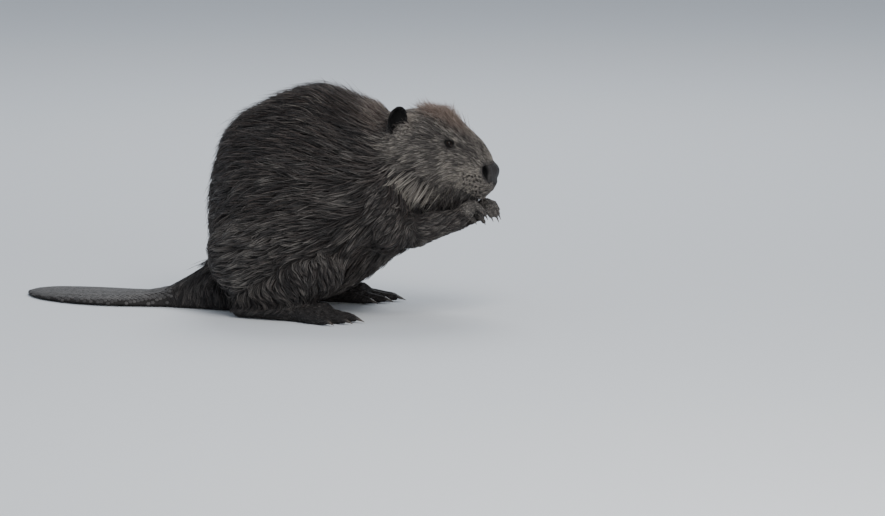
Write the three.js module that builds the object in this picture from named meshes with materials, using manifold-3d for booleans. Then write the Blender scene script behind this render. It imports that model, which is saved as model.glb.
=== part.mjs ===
// A life-size young beaver sitting hunched over its raised forepaws, as a still museum model.
// Millimetres. +X points forwards, +Y to the animal's left and +Z up, and it sits on the plane z = 0.
// The solids reach out to the tips of the coat. Each is a part of the body that has a name of its own.
import * as THREE from "three";
import { mergeVertices } from "three/addons/utils/BufferGeometryUtils.js";
import Module from "manifold-3d";

const wasm = await Module();
wasm.setup();

// ---------- driving dimensions ----------
const GAP = 0.6; // between neighbouring parts
const FACET = 0.25; // how far merging small facets may move a surface
const BODY_HEIGHT = 243; // to the top of the arched back
const RUMP_X = -134; // the back of the rump
const CHEST_X = 102; // the front of the chest
const HEAD_PLACE = new THREE.Vector3(75, 0, 204); // midway between the ears
const HEAD_PITCH = 28; // degrees, nose down
const HEAD_YAW = 10; // degrees, to the animal's left
const HEAD_ROLL = -9; // degrees, right ear up
const NECK_BEHIND_EARS = -9; // where the head ends, along its own axis
const SHOULDER_LINE = { x: 60, z: 180, lean: 23 }; // where the neck ends
const EYE = { ahead: 55.6, out: 33.4, up: 1, radius: 5.2 };
const EAR = { ahead: -3, out: 43.5, up: -2.5, long: 15.5, wide: 12.5, thick: 3.4, hollow: 4.5 };
const THIGH = { x: -47, y: 63, z: 70, radii: [74, 42, 66] };
const TAIL = { length: 252, root: -95, broad: 47, thick: 7 };
const SOLE = { length: 84, heel: -84, y: 70, splay: 7 };
const TOE_LENGTHS = [34, 45, 52, 50, 41]; // from the inner toe outwards
const TOE_FAN = [16, 8, -1, -10, -21]; // degrees from the foot's axis, the inner toe turned in
const FINGER_LENGTHS = [11, 17, 20, 19, 14]; // from the thumb outwards
const ARMS = {
  right: { shoulder: [48, -38, 150], elbow: [78, -53, 87], wrist: [143, -26, 105], knuckles: [154, -15, 117] },
  left: { shoulder: [48, 38, 150], elbow: [80, 55, 87], wrist: [147, 35, 104], knuckles: [161, 23, 114] },
};

// ---------- curves and closed surfaces ----------
const radians = THREE.MathUtils.degToRad;

// A smooth function through [x, value] pairs, which never overshoots them.
function profile(...pairs) {
  const slope = (i) => (pairs[i + 1][1] - pairs[i][1]) / (pairs[i + 1][0] - pairs[i][0]);
  const last = pairs.length - 1;
  const tangents = pairs.map((_, i) => {
    if (i === 0 || i === last) return slope(Math.min(i, last - 1));
    const [before, after] = [slope(i - 1), slope(i)];
    return before * after <= 0 ? 0 : (2 * before * after) / (before + after);
  });
  return (x) => {
    let i = 0;
    while (i < last - 1 && x > pairs[i + 1][0]) i++;
    const width = pairs[i + 1][0] - pairs[i][0];
    const u = THREE.MathUtils.clamp((x - pairs[i][0]) / width, 0, 1);
    const [u2, u3] = [u * u, u * u * u];
    return (
      (2 * u3 - 3 * u2 + 1) * pairs[i][1] +
      (u3 - 2 * u2 + u) * width * tangents[i] +
      (3 * u2 - 2 * u3) * pairs[i + 1][1] +
      (u3 - u2) * width * tangents[i + 1]
    );
  };
}

// A closed surface over rings of points, with a fan of triangles over each end.
function closeRings(rings) {
  const sides = rings[0].length;
  const centre = (ring) =>
    ring.reduce((sum, p) => sum.add(p), new THREE.Vector3()).divideScalar(sides);
  const points = [...rings.flat(), centre(rings[0]), centre(rings.at(-1))];
  const [first, last] = [points.length - 2, points.length - 1];
  const end = (rings.length - 1) * sides;
  const index = [];
  for (let j = 0; j < sides; j++) {
    const k = (j + 1) % sides;
    for (let i = 0; i < end; i += sides) {
      index.push(i + j, i + k, i + sides + j, i + k, i + sides + k, i + sides + j);
    }
    index.push(first, k, j, last, end + j, end + k);
  }
  const geometry = new THREE.BufferGeometry().setFromPoints(points);
  return geometry.setIndex(index);
}

// A geometry as a manifold-3d solid, turned to face outwards.
function solidOf(geometry) {
  const bare = geometry.clone();
  bare.deleteAttribute("normal");
  bare.deleteAttribute("uv");
  const merged = mergeVertices(bare, 1e-4);
  const vertProperties = new Float32Array(merged.attributes.position.array);
  const triVerts = new Uint32Array(merged.index.array);
  const make = () => new wasm.Manifold(new wasm.Mesh({ numProp: 3, vertProperties, triVerts }));
  const solid = make();
  if (solid.volume() > 0) return solid;
  for (let i = 0; i < triVerts.length; i += 3) {
    [triVerts[i + 1], triVerts[i + 2]] = [triVerts[i + 2], triVerts[i + 1]];
  }
  return make();
}

const union = (...solids) => solids.reduce((a, b) => a.add(b));

// An oval solid with half sizes radii, placed by a matrix.
function oval(radii, matrix, columns = 16, rows = 10) {
  const ball = new THREE.SphereGeometry(1, columns, rows).scale(...radii);
  return solidOf(ball.applyMatrix4(matrix));
}

const at = (x, y, z) => new THREE.Matrix4().makeTranslation(x, y, z);

// An oval ring of points round a centre: flat < 1 makes it lower than it is wide.
function ringAround(centre, side, up, half, flat, sides) {
  return Array.from({ length: sides }, (_, j) => {
    const angle = (j / sides) * 2 * Math.PI;
    return centre
      .clone()
      .addScaledVector(side, half * Math.cos(angle))
      .addScaledVector(up, half * flat * Math.sin(angle));
  });
}

// A limb with round ends along a curve through points. radius(t) is its half width.
function limb(points, radius, { sides = 10, rings = 5, flat = 1, grow = 0, caps = [70, 35] } = {}) {
  const path = new THREE.CatmullRomCurve3(points.map((p) => new THREE.Vector3(...p)));
  const stations = [
    ...caps.map((a) => ({ t: 0, cap: -a })),
    ...Array.from({ length: rings - 1 }, (_, i) => ({ t: (i + 1) / rings, cap: 0 })),
    ...caps.toReversed().map((a) => ({ t: 1, cap: a })),
  ];
  const above = new THREE.Vector3(0, 0, 1);
  return solidOf(
    closeRings(
      stations.map(({ t, cap }) => {
        const ahead = path.getTangent(t);
        const side = new THREE.Vector3().crossVectors(above, ahead).normalize();
        const up = new THREE.Vector3().crossVectors(ahead, side);
        const r = radius(t) + grow;
        const centre = path.getPoint(t).addScaledVector(ahead, r * Math.sin(radians(cap)));
        return ringAround(centre, side, up, r * Math.cos(radians(cap)), flat, sides);
      }),
    ),
  );
}

// A section of the body: an oval whose upper and lower halves have heights of their own.
// square > 2 fills its corners out.
function bodyRing(x, { top, bottom, middle, half, square }, grow, sides) {
  const round = (v) => Math.sign(v) * Math.abs(v) ** (2 / square);
  const level = THREE.MathUtils.clamp(middle, bottom + 0.5, top - 0.5);
  return Array.from({ length: sides }, (_, j) => {
    const angle = (j / sides) * 2 * Math.PI;
    const reach = Math.cos(angle) > 0 ? top - level + grow : level - bottom + grow;
    return new THREE.Vector3(
      x,
      (half + grow) * round(Math.sin(angle)),
      level + reach * round(Math.cos(angle)),
    );
  });
}

// A body form whose sections change along X, with the stations closer together at its ends.
function bodyLoft(shape, from, to, rings, sides, grow) {
  const stations = Array.from({ length: rings + 1 }, (_, i) => {
    const share = (1 - Math.cos((Math.PI * i) / rings)) / 2;
    const x = from + (to - from) * share;
    const section = Object.fromEntries(Object.entries(shape).map(([key, f]) => [key, f(x)]));
    return bodyRing(x + grow * (2 * share - 1), section, grow, sides);
  });
  return closeRings(stations);
}

// A block that fills the space on the far side of a plane, for parting a form.
function halfSpace(point, ahead, matrix = new THREE.Matrix4()) {
  const size = 1000; // larger than the animal
  const turn = new THREE.Quaternion().setFromUnitVectors(new THREE.Vector3(1, 0, 0), ahead);
  const block = new THREE.BoxGeometry(size, size, size).translate(size / 2, 0, 0);
  block.applyQuaternion(turn).translate(point.x, point.y, point.z);
  return solidOf(block.applyMatrix4(matrix));
}

const aboveFloor = halfSpace(new THREE.Vector3(0, 0, 0), new THREE.Vector3(0, 0, 1));

// ---------- trunk, neck and head ----------
const trunkShape = {
  top: profile(
    [RUMP_X, 110], [-132, 124], [-127, 147], [-123, 168], [-117, 186], [-110, 196.5], [-97, 208.5],
    [-71, 222], [-45, 234.5], [-16, BODY_HEIGHT], [1, 239.5], [26, 231], [39, 226], [52, 220], [65, 214], [84, 190],
    [CHEST_X, 136],
  ),
  bottom: profile(
    [RUMP_X, 104], [-130, 70], [-122, 38], [-108, 10], [-85, 2], [-40, 4],
    [0, 14], [40, 36], [70, 62], [90, 92], [CHEST_X, 130],
  ),
  middle: profile([RUMP_X, 107], [-100, 84], [-50, 84], [0, 92], [60, 122], [CHEST_X, 133]),
  half: profile(
    [RUMP_X, 4], [-130, 24], [-120, 47], [-108, 68], [-88, 87], [-58, 97],
    [-20, 95], [10, 86], [38, 77], [60, 69], [78, 58], [92, 40], [CHEST_X, 8],
  ),
  square: profile([RUMP_X, 2], [-80, 2.25], [60, 2.2], [CHEST_X, 2]),
};

// Along the head's own axis, from the neck to the lip, with 0 midway between the ears.
const headShape = {
  top: profile(
    [-48, -30], [-14, 4.5], [-3, 12], [8, 17], [19, 25], [29, 33], [36, 34.4], [43, 34.2], [51, 31.7],
    [60, 28.2], [75, 25.6], [85, 22], [95, 16.3], [108, 7.5], [120, -10],
  ),
  bottom: profile([-48, -76], [-20, -76], [10, -76], [40, -73], [62, -67], [84, -54], [104, -38], [120, -20]),
  middle: profile([-48, -36], [0, -26], [40, -22], [72, -16], [95, -11], [120, -14]),
  half: profile(
    [-48, 42], [-20, 48], [0, 47.5], [20, 46.5], [42, 44], [60, 39], [80, 31], [98, 24], [111, 17], [120, 6],
  ),
  square: profile([-48, 2], [40, 2.15], [80, 2.4], [120, 2]),
};

const headFrame = new THREE.Matrix4().compose(
  HEAD_PLACE,
  new THREE.Quaternion().setFromEuler(
    new THREE.Euler(radians(HEAD_ROLL), radians(HEAD_PITCH), radians(HEAD_YAW), "ZYX"),
  ),
  new THREE.Vector3(1, 1, 1),
);

const inHead = (x, y, z) => headFrame.clone().multiply(at(x, y, z));

function skull(grow) {
  const swell = (radii) => radii.map((r) => r + grow);
  const loft = solidOf(bodyLoft(headShape, -48, 120, 14, 18, grow).applyMatrix4(headFrame));
  const nosePad = oval(swell([10.5, 14, 11]), inHead(107, 0, -3), 10, 8);
  const chin = oval(swell([24, 18, 17]), inHead(77, 0, -44), 10, 6);
  const lips = [-1, 1].map((side) => oval(swell([21, 14, 17]), inHead(98.5, side * 12, -20.5), 10, 7));
  const cheeks = [-1, 1].map((side) => oval(swell([32, 21, 30]), inHead(42, side * 26, -29), 10, 7));
  return union(loft, nosePad, chin, ...lips, ...cheeks).simplify(FACET / 2);
}

function headOnly(grow) {
  const cut = new THREE.Vector3(NECK_BEHIND_EARS - grow, 0, 0);
  return skull(grow).intersect(halfSpace(cut, new THREE.Vector3(1, 0, 0), headFrame));
}

function neckSide(grow) {
  const lean = radians(SHOULDER_LINE.lean);
  const ahead = new THREE.Vector3(Math.cos(lean), 0, Math.sin(lean));
  const point = new THREE.Vector3(SHOULDER_LINE.x, 0, SHOULDER_LINE.z);
  return halfSpace(point.addScaledVector(ahead, -grow), ahead);
}

function coreForm(grow) {
  const barrel = solidOf(bodyLoft(trunkShape, RUMP_X, CHEST_X, 18, 20, grow));
  const nape = oval([50 + grow, 60 + grow, 52 + grow], at(56, 5, 160), 12, 8);
  return union(barrel, nape, skull(grow)).intersect(aboveFloor).simplify(FACET / 2);
}

// ---------- eyes and ears ----------
function eye(side, grow) {
  const radius = EYE.radius + grow;
  return oval([radius, radius, radius], inHead(EYE.ahead, side * EYE.out, EYE.up), 10, 7);
}

// A shallow oval bowl, open forwards and outwards, that leans back from the head.
function ear(side, grow) {
  const bowl = new THREE.SphereGeometry(1, 12, 7);
  const p = bowl.attributes.position;
  for (let i = 0; i < p.count; i++) {
    const [x, y, z] = [p.getX(i), p.getY(i), p.getZ(i)];
    const rim = x * x + y * y;
    p.setXYZ(
      i,
      x * (EAR.wide + 1.5 * grow),
      y * (EAR.long + 1.5 * grow),
      z * (EAR.thick / 2 + 2 * grow) + EAR.hollow * (rim - 0.5),
    );
  }
  const facing = new THREE.Vector3(0.62, side * 0.78, 0.05).normalize();
  const long = new THREE.Vector3(-0.28, side * 0.2, 0.95);
  const wide = new THREE.Vector3().crossVectors(long, facing).normalize();
  long.crossVectors(facing, wide);
  const turn = new THREE.Matrix4().makeBasis(wide, long, facing);
  return solidOf(bowl.applyMatrix4(inHead(EAR.ahead, side * EAR.out, EAR.up).multiply(turn)));
}

// ---------- forelimbs ----------
const mix = (a, b, t) => a.map((v, i) => v + (b[i] - v) * t);
const upperArm = (arm, grow) =>
  limb([arm.shoulder, arm.elbow], (t) => 36 - 13 * t, { grow, rings: 2, sides: 10 });
const forearm = (arm, grow) =>
  limb([arm.elbow, arm.wrist], profile([0, 21], [0.4, 18], [1, 11]), { grow, rings: 3 });

// The unit vectors of a hand: along it, across it to its outer edge, and out of its back.
function handFrame(arm, side) {
  const ahead = new THREE.Vector3(...arm.knuckles).sub(new THREE.Vector3(...arm.wrist)).normalize();
  const across = new THREE.Vector3(0, side, 0).addScaledVector(ahead, -side * ahead.y).normalize();
  const back = new THREE.Vector3().crossVectors(ahead, across).multiplyScalar(side);
  return { ahead, across, back };
}

// Each finger reaches forwards from the knuckles and bends down; its claw carries on.
function fingers(arm, side) {
  const { ahead, across, back } = handFrame(arm, side);
  const knuckles = new THREE.Vector3(...arm.knuckles);
  return FINGER_LENGTHS.map((length, i) => {
    const spread = (i - 2.2) * 4.3;
    const thumb = i === 0;
    const root = knuckles
      .clone()
      .addScaledVector(across, spread)
      .addScaledVector(ahead, thumb ? -9 : -2 - 0.5 * Math.abs(i - 2))
      .addScaledVector(back, thumb ? -4 : 1);
    const step = (p, forward, out, down) =>
      p
        .clone()
        .addScaledVector(ahead, forward * length)
        .addScaledVector(across, out * (i - 2.2))
        .addScaledVector(back, -down * length);
    const knee = step(root, 0.38, 0.5, 0.28);
    const tip = step(knee, -0.02, 0.1, 0.5);
    const clawEnd = step(tip, -0.12, 0, 0.4);
    return [root, knee, tip, clawEnd].map((p) => p.toArray());
  });
}

function hand(arm, side, grow) {
  const { ahead, across, back } = handFrame(arm, side);
  const middle = mix(arm.wrist, arm.knuckles, 0.62);
  const frame = new THREE.Matrix4().makeBasis(ahead, across, back.clone().multiplyScalar(side));
  const palm = oval([15 + grow, 12.5 + grow, 8.5 + grow], at(...middle).multiply(frame), 8, 6);
  const digits = fingers(arm, side).map(([root, knee, tip]) =>
    limb([root, knee, tip], (t) => 3.8 - 0.9 * t, { grow, sides: 5, rings: 2, caps: [50] }),
  );
  return union(palm, ...digits);
}

// ---------- hind limbs ----------
const thigh = (side, grow) =>
  oval(
    THIGH.radii.map((r) => r + grow),
    at(THIGH.x, side * THIGH.y, THIGH.z).multiply(new THREE.Matrix4().makeRotationZ(side * -0.08)),
    14,
    8,
  );
const shank = (side, grow) =>
  limb(
    [[4, side * 79, 48], [-34, side * 83, 37], [-76, side * 73, 22]],
    profile([0, 29], [0.5, 25], [1, 15]),
    { grow, rings: 3, sides: 10 },
  );

// Points of the foot are given along it from the heel, outwards from its axis, and up.
function onFoot(side, ahead, out, up) {
  const turn = radians(SOLE.splay) * side;
  return [
    SOLE.heel + ahead * Math.cos(turn) - side * out * Math.sin(turn),
    side * SOLE.y + ahead * Math.sin(turn) + side * out * Math.cos(turn),
    up,
  ];
}

function toes(side) {
  return TOE_LENGTHS.map((length, i) => {
    const fan = -radians(TOE_FAN[i]);
    const root = [SOLE.length - 6 - 3 * Math.abs(i - 2), (i - 2) * 8.5];
    const along = (distance, up) =>
      onFoot(side, root[0] + distance * Math.cos(fan), root[1] + distance * Math.sin(fan), up);
    return [along(0, 9), along(length * 0.55, 6.8), along(length, 4.6), along(length + 13, 1.6)];
  });
}

function foot(side, grow) {
  const sole = limb(
    [onFoot(side, 8, 0, 6.6), onFoot(side, 44, 0, 8.7), onFoot(side, SOLE.length, 0, 9)],
    profile([0, 13], [0.5, 18], [1, 24]),
    { grow, sides: 10, rings: 3, flat: 0.52 },
  );
  const digits = toes(side).map(([root, knuckle, tip]) =>
    limb([root, knuckle, tip], (t) => 6.6 - 1.8 * t, { grow, sides: 6, rings: 2, caps: [50] }),
  );
  // The web is a thin fan from the ball of the foot to near the toe tips, dipping between them.
  const edge = toes(side).flatMap(([root, , tip], i, all) => {
    const own = mix(root, tip, 0.94);
    if (i === all.length - 1) return [own];
    const next = mix(all[i + 1][0], all[i + 1][2], 0.94);
    return [own, mix(mix(own, next, 0.5), root, 0.16)];
  });
  const heelward = edge.map((_, i) => onFoot(side, SOLE.length - 26, (i / (edge.length - 1) - 0.5) * 26, 6));
  const slab = (points, up) => points.map(([x, y]) => new THREE.Vector3(x, y, up));
  const webRings = edge.map((_, i) => [
    ...slab([heelward[i], edge[i]], 0.9 - grow),
    ...slab([edge[i], heelward[i]], 5.6 + grow),
  ]);
  return union(sole, solidOf(closeRings(webRings)), ...digits).intersect(aboveFloor).simplify(FACET);
}

// ---------- claws ----------
function claw([, , tip, end], radius, grow) {
  const bend = mix(tip, end, 0.5).map((v, i) => v + (i === 2 ? radius * 0.35 : 0));
  return limb([mix(tip, end, -0.1), bend, end], profile([0, radius], [0.6, radius * 0.7], [1, 0.45]), {
    grow,
    sides: 5,
    rings: 2,
    caps: [45],
  });
}

// ---------- tail ----------
// Furred and round at its root, then a broad flat paddle that lies on the floor.
const tailHalf = profile(
  [0, 34], [50, 27], [85, 25], [128, 40], [175, TAIL.broad], [218, 41], [243, 23], [TAIL.length, 4],
);
const tailHigh = profile(
  [0, 66], [40, 48], [72, 24], [105, 14], [180, 10.5], [232, TAIL.thick], [TAIL.length, 4],
);
const tailSwing = profile([0, 0], [60, 3], [160, 20], [TAIL.length, 52]); // to the left

function tail(grow) {
  const rings = 14;
  const sections = Array.from({ length: rings + 1 }, (_, i) => {
    const distance = TAIL.length * Math.sin((Math.PI / 2) * (i / rings));
    const half = tailHalf(distance) + grow;
    const high = tailHigh(distance) + grow;
    const x = TAIL.root - distance + grow * (1 - (2 * i) / rings);
    return Array.from({ length: 14 }, (_, j) => {
      const angle = (j / 14) * 2 * Math.PI;
      const lift = Math.sin(angle);
      return new THREE.Vector3(
        x,
        tailSwing(distance) + half * Math.cos(angle),
        lift > 0 ? 3 + (high - 3) * lift : 3 + (4 + grow) * lift,
      );
    });
  });
  return solidOf(closeRings(sections)).intersect(aboveFloor);
}

// ---------- parting: each part is cut back from those before it ----------
const hide = new THREE.MeshStandardMaterial({ color: 0x33291f, roughness: 0.85, metalness: 0 });
const darkHide = new THREE.MeshStandardMaterial({ color: 0x191614, roughness: 0.7, metalness: 0 });
const tailHide = new THREE.MeshStandardMaterial({ color: 0x2a2724, roughness: 0.6, metalness: 0 });
const horn = new THREE.MeshStandardMaterial({ color: 0x5a5148, roughness: 0.4, metalness: 0 });
const eyeBall = new THREE.MeshStandardMaterial({ color: 0x0c0807, roughness: 0.08, metalness: 0 });

const parts = [];
const add = (name, material, shape) => parts.push({ name, material, shape });

for (const [label, side] of [["right", -1], ["left", 1]]) {
  add(`eye_${label}`, eyeBall, (grow) => eye(side, grow));
  add(`ear_${label}`, darkHide, (grow) => ear(side, grow));
  add(`hand_${label}`, darkHide, (grow) => hand(ARMS[label], side, grow));
  fingers(ARMS[label], side).forEach((digit, i) =>
    add(`claw_hand_${label}_${i + 1}`, horn, (grow) => claw(digit, 1.8, grow)),
  );
  add(`foot_${label}`, darkHide, (grow) => foot(side, grow));
  toes(side).forEach((digit, i) =>
    add(`claw_foot_${label}_${i + 1}`, horn, (grow) => claw(digit, 2.9, grow).intersect(aboveFloor)),
  );
}
add("tail", tailHide, tail);
add("head", hide, headOnly);
add("neck", hide, (grow) => coreForm(grow).intersect(neckSide(grow)));
add("trunk", hide, coreForm);
for (const [label, side] of [["right", -1], ["left", 1]]) {
  add(`forearm_${label}`, hide, (grow) => forearm(ARMS[label], grow));
  add(`upper_arm_${label}`, hide, (grow) => upperArm(ARMS[label], grow));
  add(`shank_${label}`, hide, (grow) => shank(side, grow).intersect(aboveFloor));
  add(`thigh_${label}`, hide, (grow) => thigh(side, grow).intersect(aboveFloor));
}

const touches = (a, b) => {
  const [p, q] = [a.boundingBox(), b.boundingBox()];
  return [0, 1, 2].every((k) => p.min[k] < q.max[k] && q.min[k] < p.max[k]);
};
// The largest body of a solid: parting can leave crumbs beside it.
const largest = (solid) => solid.decompose().reduce((a, b) => (b.volume() > a.volume() ? b : a));

function meshOf(solid, name, material) {
  const { vertProperties, triVerts } = solid.getMesh();
  const geometry = new THREE.BufferGeometry();
  geometry.setAttribute("position", new THREE.BufferAttribute(vertProperties, 3));
  geometry.setIndex(new THREE.BufferAttribute(triVerts, 1));
  geometry.computeVertexNormals();
  const mesh = new THREE.Mesh(geometry, material);
  mesh.name = name;
  return mesh;
}

const beaver = new THREE.Group();
const cutters = [];
for (const { name, material, shape } of parts) {
  const whole = shape(0);
  const own = cutters.filter((c) => touches(whole, c)).reduce((rest, c) => rest.subtract(c), whole);
  beaver.add(meshOf(largest(own.simplify(FACET)), name, material));
  cutters.push(shape(GAP));
}

// The origin is on the floor, below the middle of the bounding box.
const box = new THREE.Box3().setFromObject(beaver, true);
beaver.position.set(-(box.min.x + box.max.x) / 2, -(box.min.y + box.max.y) / 2, -box.min.z);

export default beaver;
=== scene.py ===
# %% [markdown]
# # A young beaver sitting with its forepaws at its mouth
# The animal is a life-size museum-like model. Its solid parts come packed as a fixed frame, in
# metres, with the animal facing +X and its left side towards +Y. This lesson grows its skin, eyes,
# claws and coat on that frame. Every place is taken from the boxes of those solids, so the looks
# always fit the solid model.

import math

import bmesh
import bpy
import numpy as np
from mathutils import Matrix, Vector, noise
from mathutils.bvhtree import BVHTree
from mathutils.kdtree import KDTree


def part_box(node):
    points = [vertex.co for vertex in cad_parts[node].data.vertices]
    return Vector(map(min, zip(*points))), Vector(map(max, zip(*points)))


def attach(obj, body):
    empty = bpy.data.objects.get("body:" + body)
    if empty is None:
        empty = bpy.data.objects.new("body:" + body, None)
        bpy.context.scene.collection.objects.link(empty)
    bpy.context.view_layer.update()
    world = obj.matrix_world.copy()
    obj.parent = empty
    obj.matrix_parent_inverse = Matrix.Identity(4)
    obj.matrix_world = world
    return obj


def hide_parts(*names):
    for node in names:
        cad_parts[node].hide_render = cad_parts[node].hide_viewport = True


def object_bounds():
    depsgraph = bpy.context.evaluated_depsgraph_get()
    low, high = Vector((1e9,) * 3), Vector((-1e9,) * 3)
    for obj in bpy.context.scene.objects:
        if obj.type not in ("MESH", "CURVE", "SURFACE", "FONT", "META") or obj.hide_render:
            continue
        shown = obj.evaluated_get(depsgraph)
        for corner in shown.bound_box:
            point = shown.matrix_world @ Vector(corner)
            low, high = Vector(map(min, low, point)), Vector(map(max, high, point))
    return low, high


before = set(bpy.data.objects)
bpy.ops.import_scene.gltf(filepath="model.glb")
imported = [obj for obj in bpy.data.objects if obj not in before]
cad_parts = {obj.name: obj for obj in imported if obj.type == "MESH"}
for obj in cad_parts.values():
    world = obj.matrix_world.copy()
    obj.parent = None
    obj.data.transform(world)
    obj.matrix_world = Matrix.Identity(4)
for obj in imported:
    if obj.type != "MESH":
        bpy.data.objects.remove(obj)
solid_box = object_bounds()
low, high = (np.array(corner) for corner in solid_box)
length, _, height = high - low
print("solid model:", np.round(high - low, 3), "m")

# %% [markdown]
# ## Two ways to say where something is
# The body is described along the frame's own axes. The head is turned 10 degrees to its left, 28
# degrees nose down and rolled a little, so it gets axes of its own: ahead, left and up, in
# millimetres from a point midway between the ears. The middle of the two eyes fixes that point.

# %% Find the head's own axes
MM = 0.001


def middle(node):
    a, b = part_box(node)
    return np.array((a + b) / 2)


def turned(axis, degrees):
    return Matrix.Rotation(math.radians(degrees), 3, axis)


HEAD_AXES = np.array(turned("Z", 10) @ turned("Y", 28) @ turned("X", -9))
EYE_AHEAD, EYE_OUT, EYE_UP = 55.6, 33.4, 1.0
between_eyes = (middle("eye_left") + middle("eye_right")) / 2
head_place = between_eyes - HEAD_AXES @ (np.array((EYE_AHEAD, 0, EYE_UP)) * MM)


def in_head(points):
    """Millimetres ahead, left and up of the point between the ears."""
    return (np.asarray(points) - head_place) @ HEAD_AXES / MM


def from_head(points):
    return np.asarray(points, float) * MM @ HEAD_AXES.T + head_place


def step(edge0, edge1, x):
    """A soft step from 0 at edge0 to 1 at edge1."""
    t = np.clip((np.asarray(x, float) - edge0) / (edge1 - edge0), 0, 1)
    return t * t * (3 - 2 * t)


def hill(x, centre, spread):
    """A soft hill of height 1 at the centre."""
    return np.exp(-(((np.asarray(x, float) - centre) / spread) ** 2))


def unit(v):
    return v / np.maximum(np.linalg.norm(v, axis=-1, keepdims=True), 1e-12)


eye_gap = middle("eye_left") - middle("eye_right")
print("head origin", np.round(head_place, 4), "eyes apart", np.round(eye_gap, 4))

# %% [markdown]
# ## The camera
# A long lens far away keeps the body's proportions true, as a wildlife lens does from across a pond.
# It looks at the right side, a little from the front and a little from above. The direction is given
# by two angles. The point looked at is a little ahead of the ears and well below them, so the animal
# sits left of the middle with room in front of its nose.

# %% Place the camera
CAMERA_AZIMUTH, CAMERA_ELEVATION = math.radians(14), math.radians(7.5)
CAMERA_DISTANCE = 12.0
AIM_FROM_EARS = Vector((44.7, 0, -144.3))
target = Vector(head_place) + AIM_FROM_EARS * MM
outwards = Vector(
    (
        math.sin(CAMERA_AZIMUTH) * math.cos(CAMERA_ELEVATION),
        -math.cos(CAMERA_AZIMUTH) * math.cos(CAMERA_ELEVATION),
        math.sin(CAMERA_ELEVATION),
    )
)
lens = bpy.data.cameras.new("long_lens")
lens.lens, lens.sensor_width = 465, 36
lens.clip_start, lens.clip_end = 1, 100
camera = bpy.data.objects.new("camera", lens)
camera.location = target + outwards * CAMERA_DISTANCE
camera.rotation_euler = outwards.to_track_quat("Z", "Y").to_euler()
bpy.context.scene.collection.objects.link(camera)
bpy.context.scene.camera = camera
print("camera at", tuple(round(x, 2) for x in camera.location))

# %% [markdown]
# ## One skin for the whole body
# The solids are separate parts with thin cuts between them. A living skin has no seams, so copies of
# the fleshy parts are swollen by less than half a millimetre, which closes the cuts, and remeshed
# into one closed surface with the Remesh modifier. Smoothing then takes away the facets, most of all
# on the body and least on the hands, feet and ears, whose small forms it would melt. A subdivision
# surface over a hand-made cage would also do, but remeshing keeps close to the solids.

# %% Name the solids, and copy them into one mesh
SIDES = ("left", "right")
LIMBS = ("ear", "hand", "foot", "forearm", "upper_arm", "shank", "thigh")
FLESH = ["head", "neck", "trunk", "tail"] + [f"{part}_{side}" for part in LIMBS for side in SIDES]
EYES = [f"eye_{side}" for side in SIDES]
CLAWS = [f"claw_{paw}_{side}_{i}" for paw in ("hand", "foot") for side in SIDES for i in range(1, 6)]


def joined_solids(nodes, swell):
    """One mesh of the nodes' solids, each swollen by this many metres, and the node of each face."""
    whole, owner = bmesh.new(), []
    for number, node in enumerate(nodes):
        part = bmesh.new()
        part.from_mesh(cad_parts[node].data)
        bmesh.ops.remove_doubles(part, verts=part.verts, dist=2e-6)
        part.normal_update()
        for vertex in part.verts:
            vertex.co += vertex.normal * swell
        copy = bpy.data.meshes.new(node)
        part.to_mesh(copy)
        whole.from_mesh(copy)
        owner += [number] * len(part.faces)
        part.free()
        bpy.data.meshes.remove(copy)
    return whole, np.array(owner)


def new_object(name, mesh):
    obj = bpy.data.objects.new(name, mesh)
    bpy.context.scene.collection.objects.link(obj)
    return obj


def reshape(obj, *modifiers):
    """Adds modifiers, given as (type, {setting: value}), and applies them all."""
    for kind, settings in modifiers:
        modifier = obj.modifiers.new(kind.title(), kind)
        for name, value in settings.items():
            setattr(modifier, name, value)
    graph = bpy.context.evaluated_depsgraph_get()
    old, new = obj.data, bpy.data.meshes.new_from_object(obj.evaluated_get(graph))
    obj.modifiers.clear()
    obj.data = new
    bpy.data.meshes.remove(old)


print(len(FLESH), "fleshy solids,", len(EYES), "eyes,", len(CLAWS), "claws")

# %% Read, move and smooth a mesh's points


def points_of(obj):
    co = np.empty(len(obj.data.vertices) * 3, np.float32)
    obj.data.vertices.foreach_get("co", co)
    return co.reshape(-1, 3).astype(float)


def move_points(obj, co):
    obj.data.vertices.foreach_set("co", co.astype(np.float32).ravel())
    obj.data.update()


def normals_of(obj):
    n = np.empty(len(obj.data.vertices) * 3, np.float32)
    obj.data.vertex_normals.foreach_get("vector", n)
    return n.reshape(-1, 3).astype(float)


def pairs_of(obj):
    e = np.empty(len(obj.data.edges) * 2, np.int32)
    obj.data.edges.foreach_get("vertices", e)
    return e.reshape(-1, 2)


def blurred(values, pairs, passes):
    """Moves each point's values half way to the mean of its neighbours, this many times."""
    a, b = pairs.T
    count = len(values)
    neighbours = np.maximum(np.bincount(a, minlength=count) + np.bincount(b, minlength=count), 1)
    flat = values.reshape(count, -1).astype(float)
    for _ in range(passes):
        for column in range(flat.shape[1]):
            v = flat[:, column]
            total = np.bincount(a, v[b], count) + np.bincount(b, v[a], count)
            flat[:, column] = 0.5 * v + 0.5 * total / neighbours
    return flat.reshape(values.shape)


def part_of(points):
    """The number of the fleshy node nearest to each point. Eyes fill their sockets and count as head."""
    node = np.array([flesh_of_face[flesh_tree.find_nearest(p)[2]] for p in points.tolist()])
    return np.where(node < len(FLESH), node, FLESH.index("head"))


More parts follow.
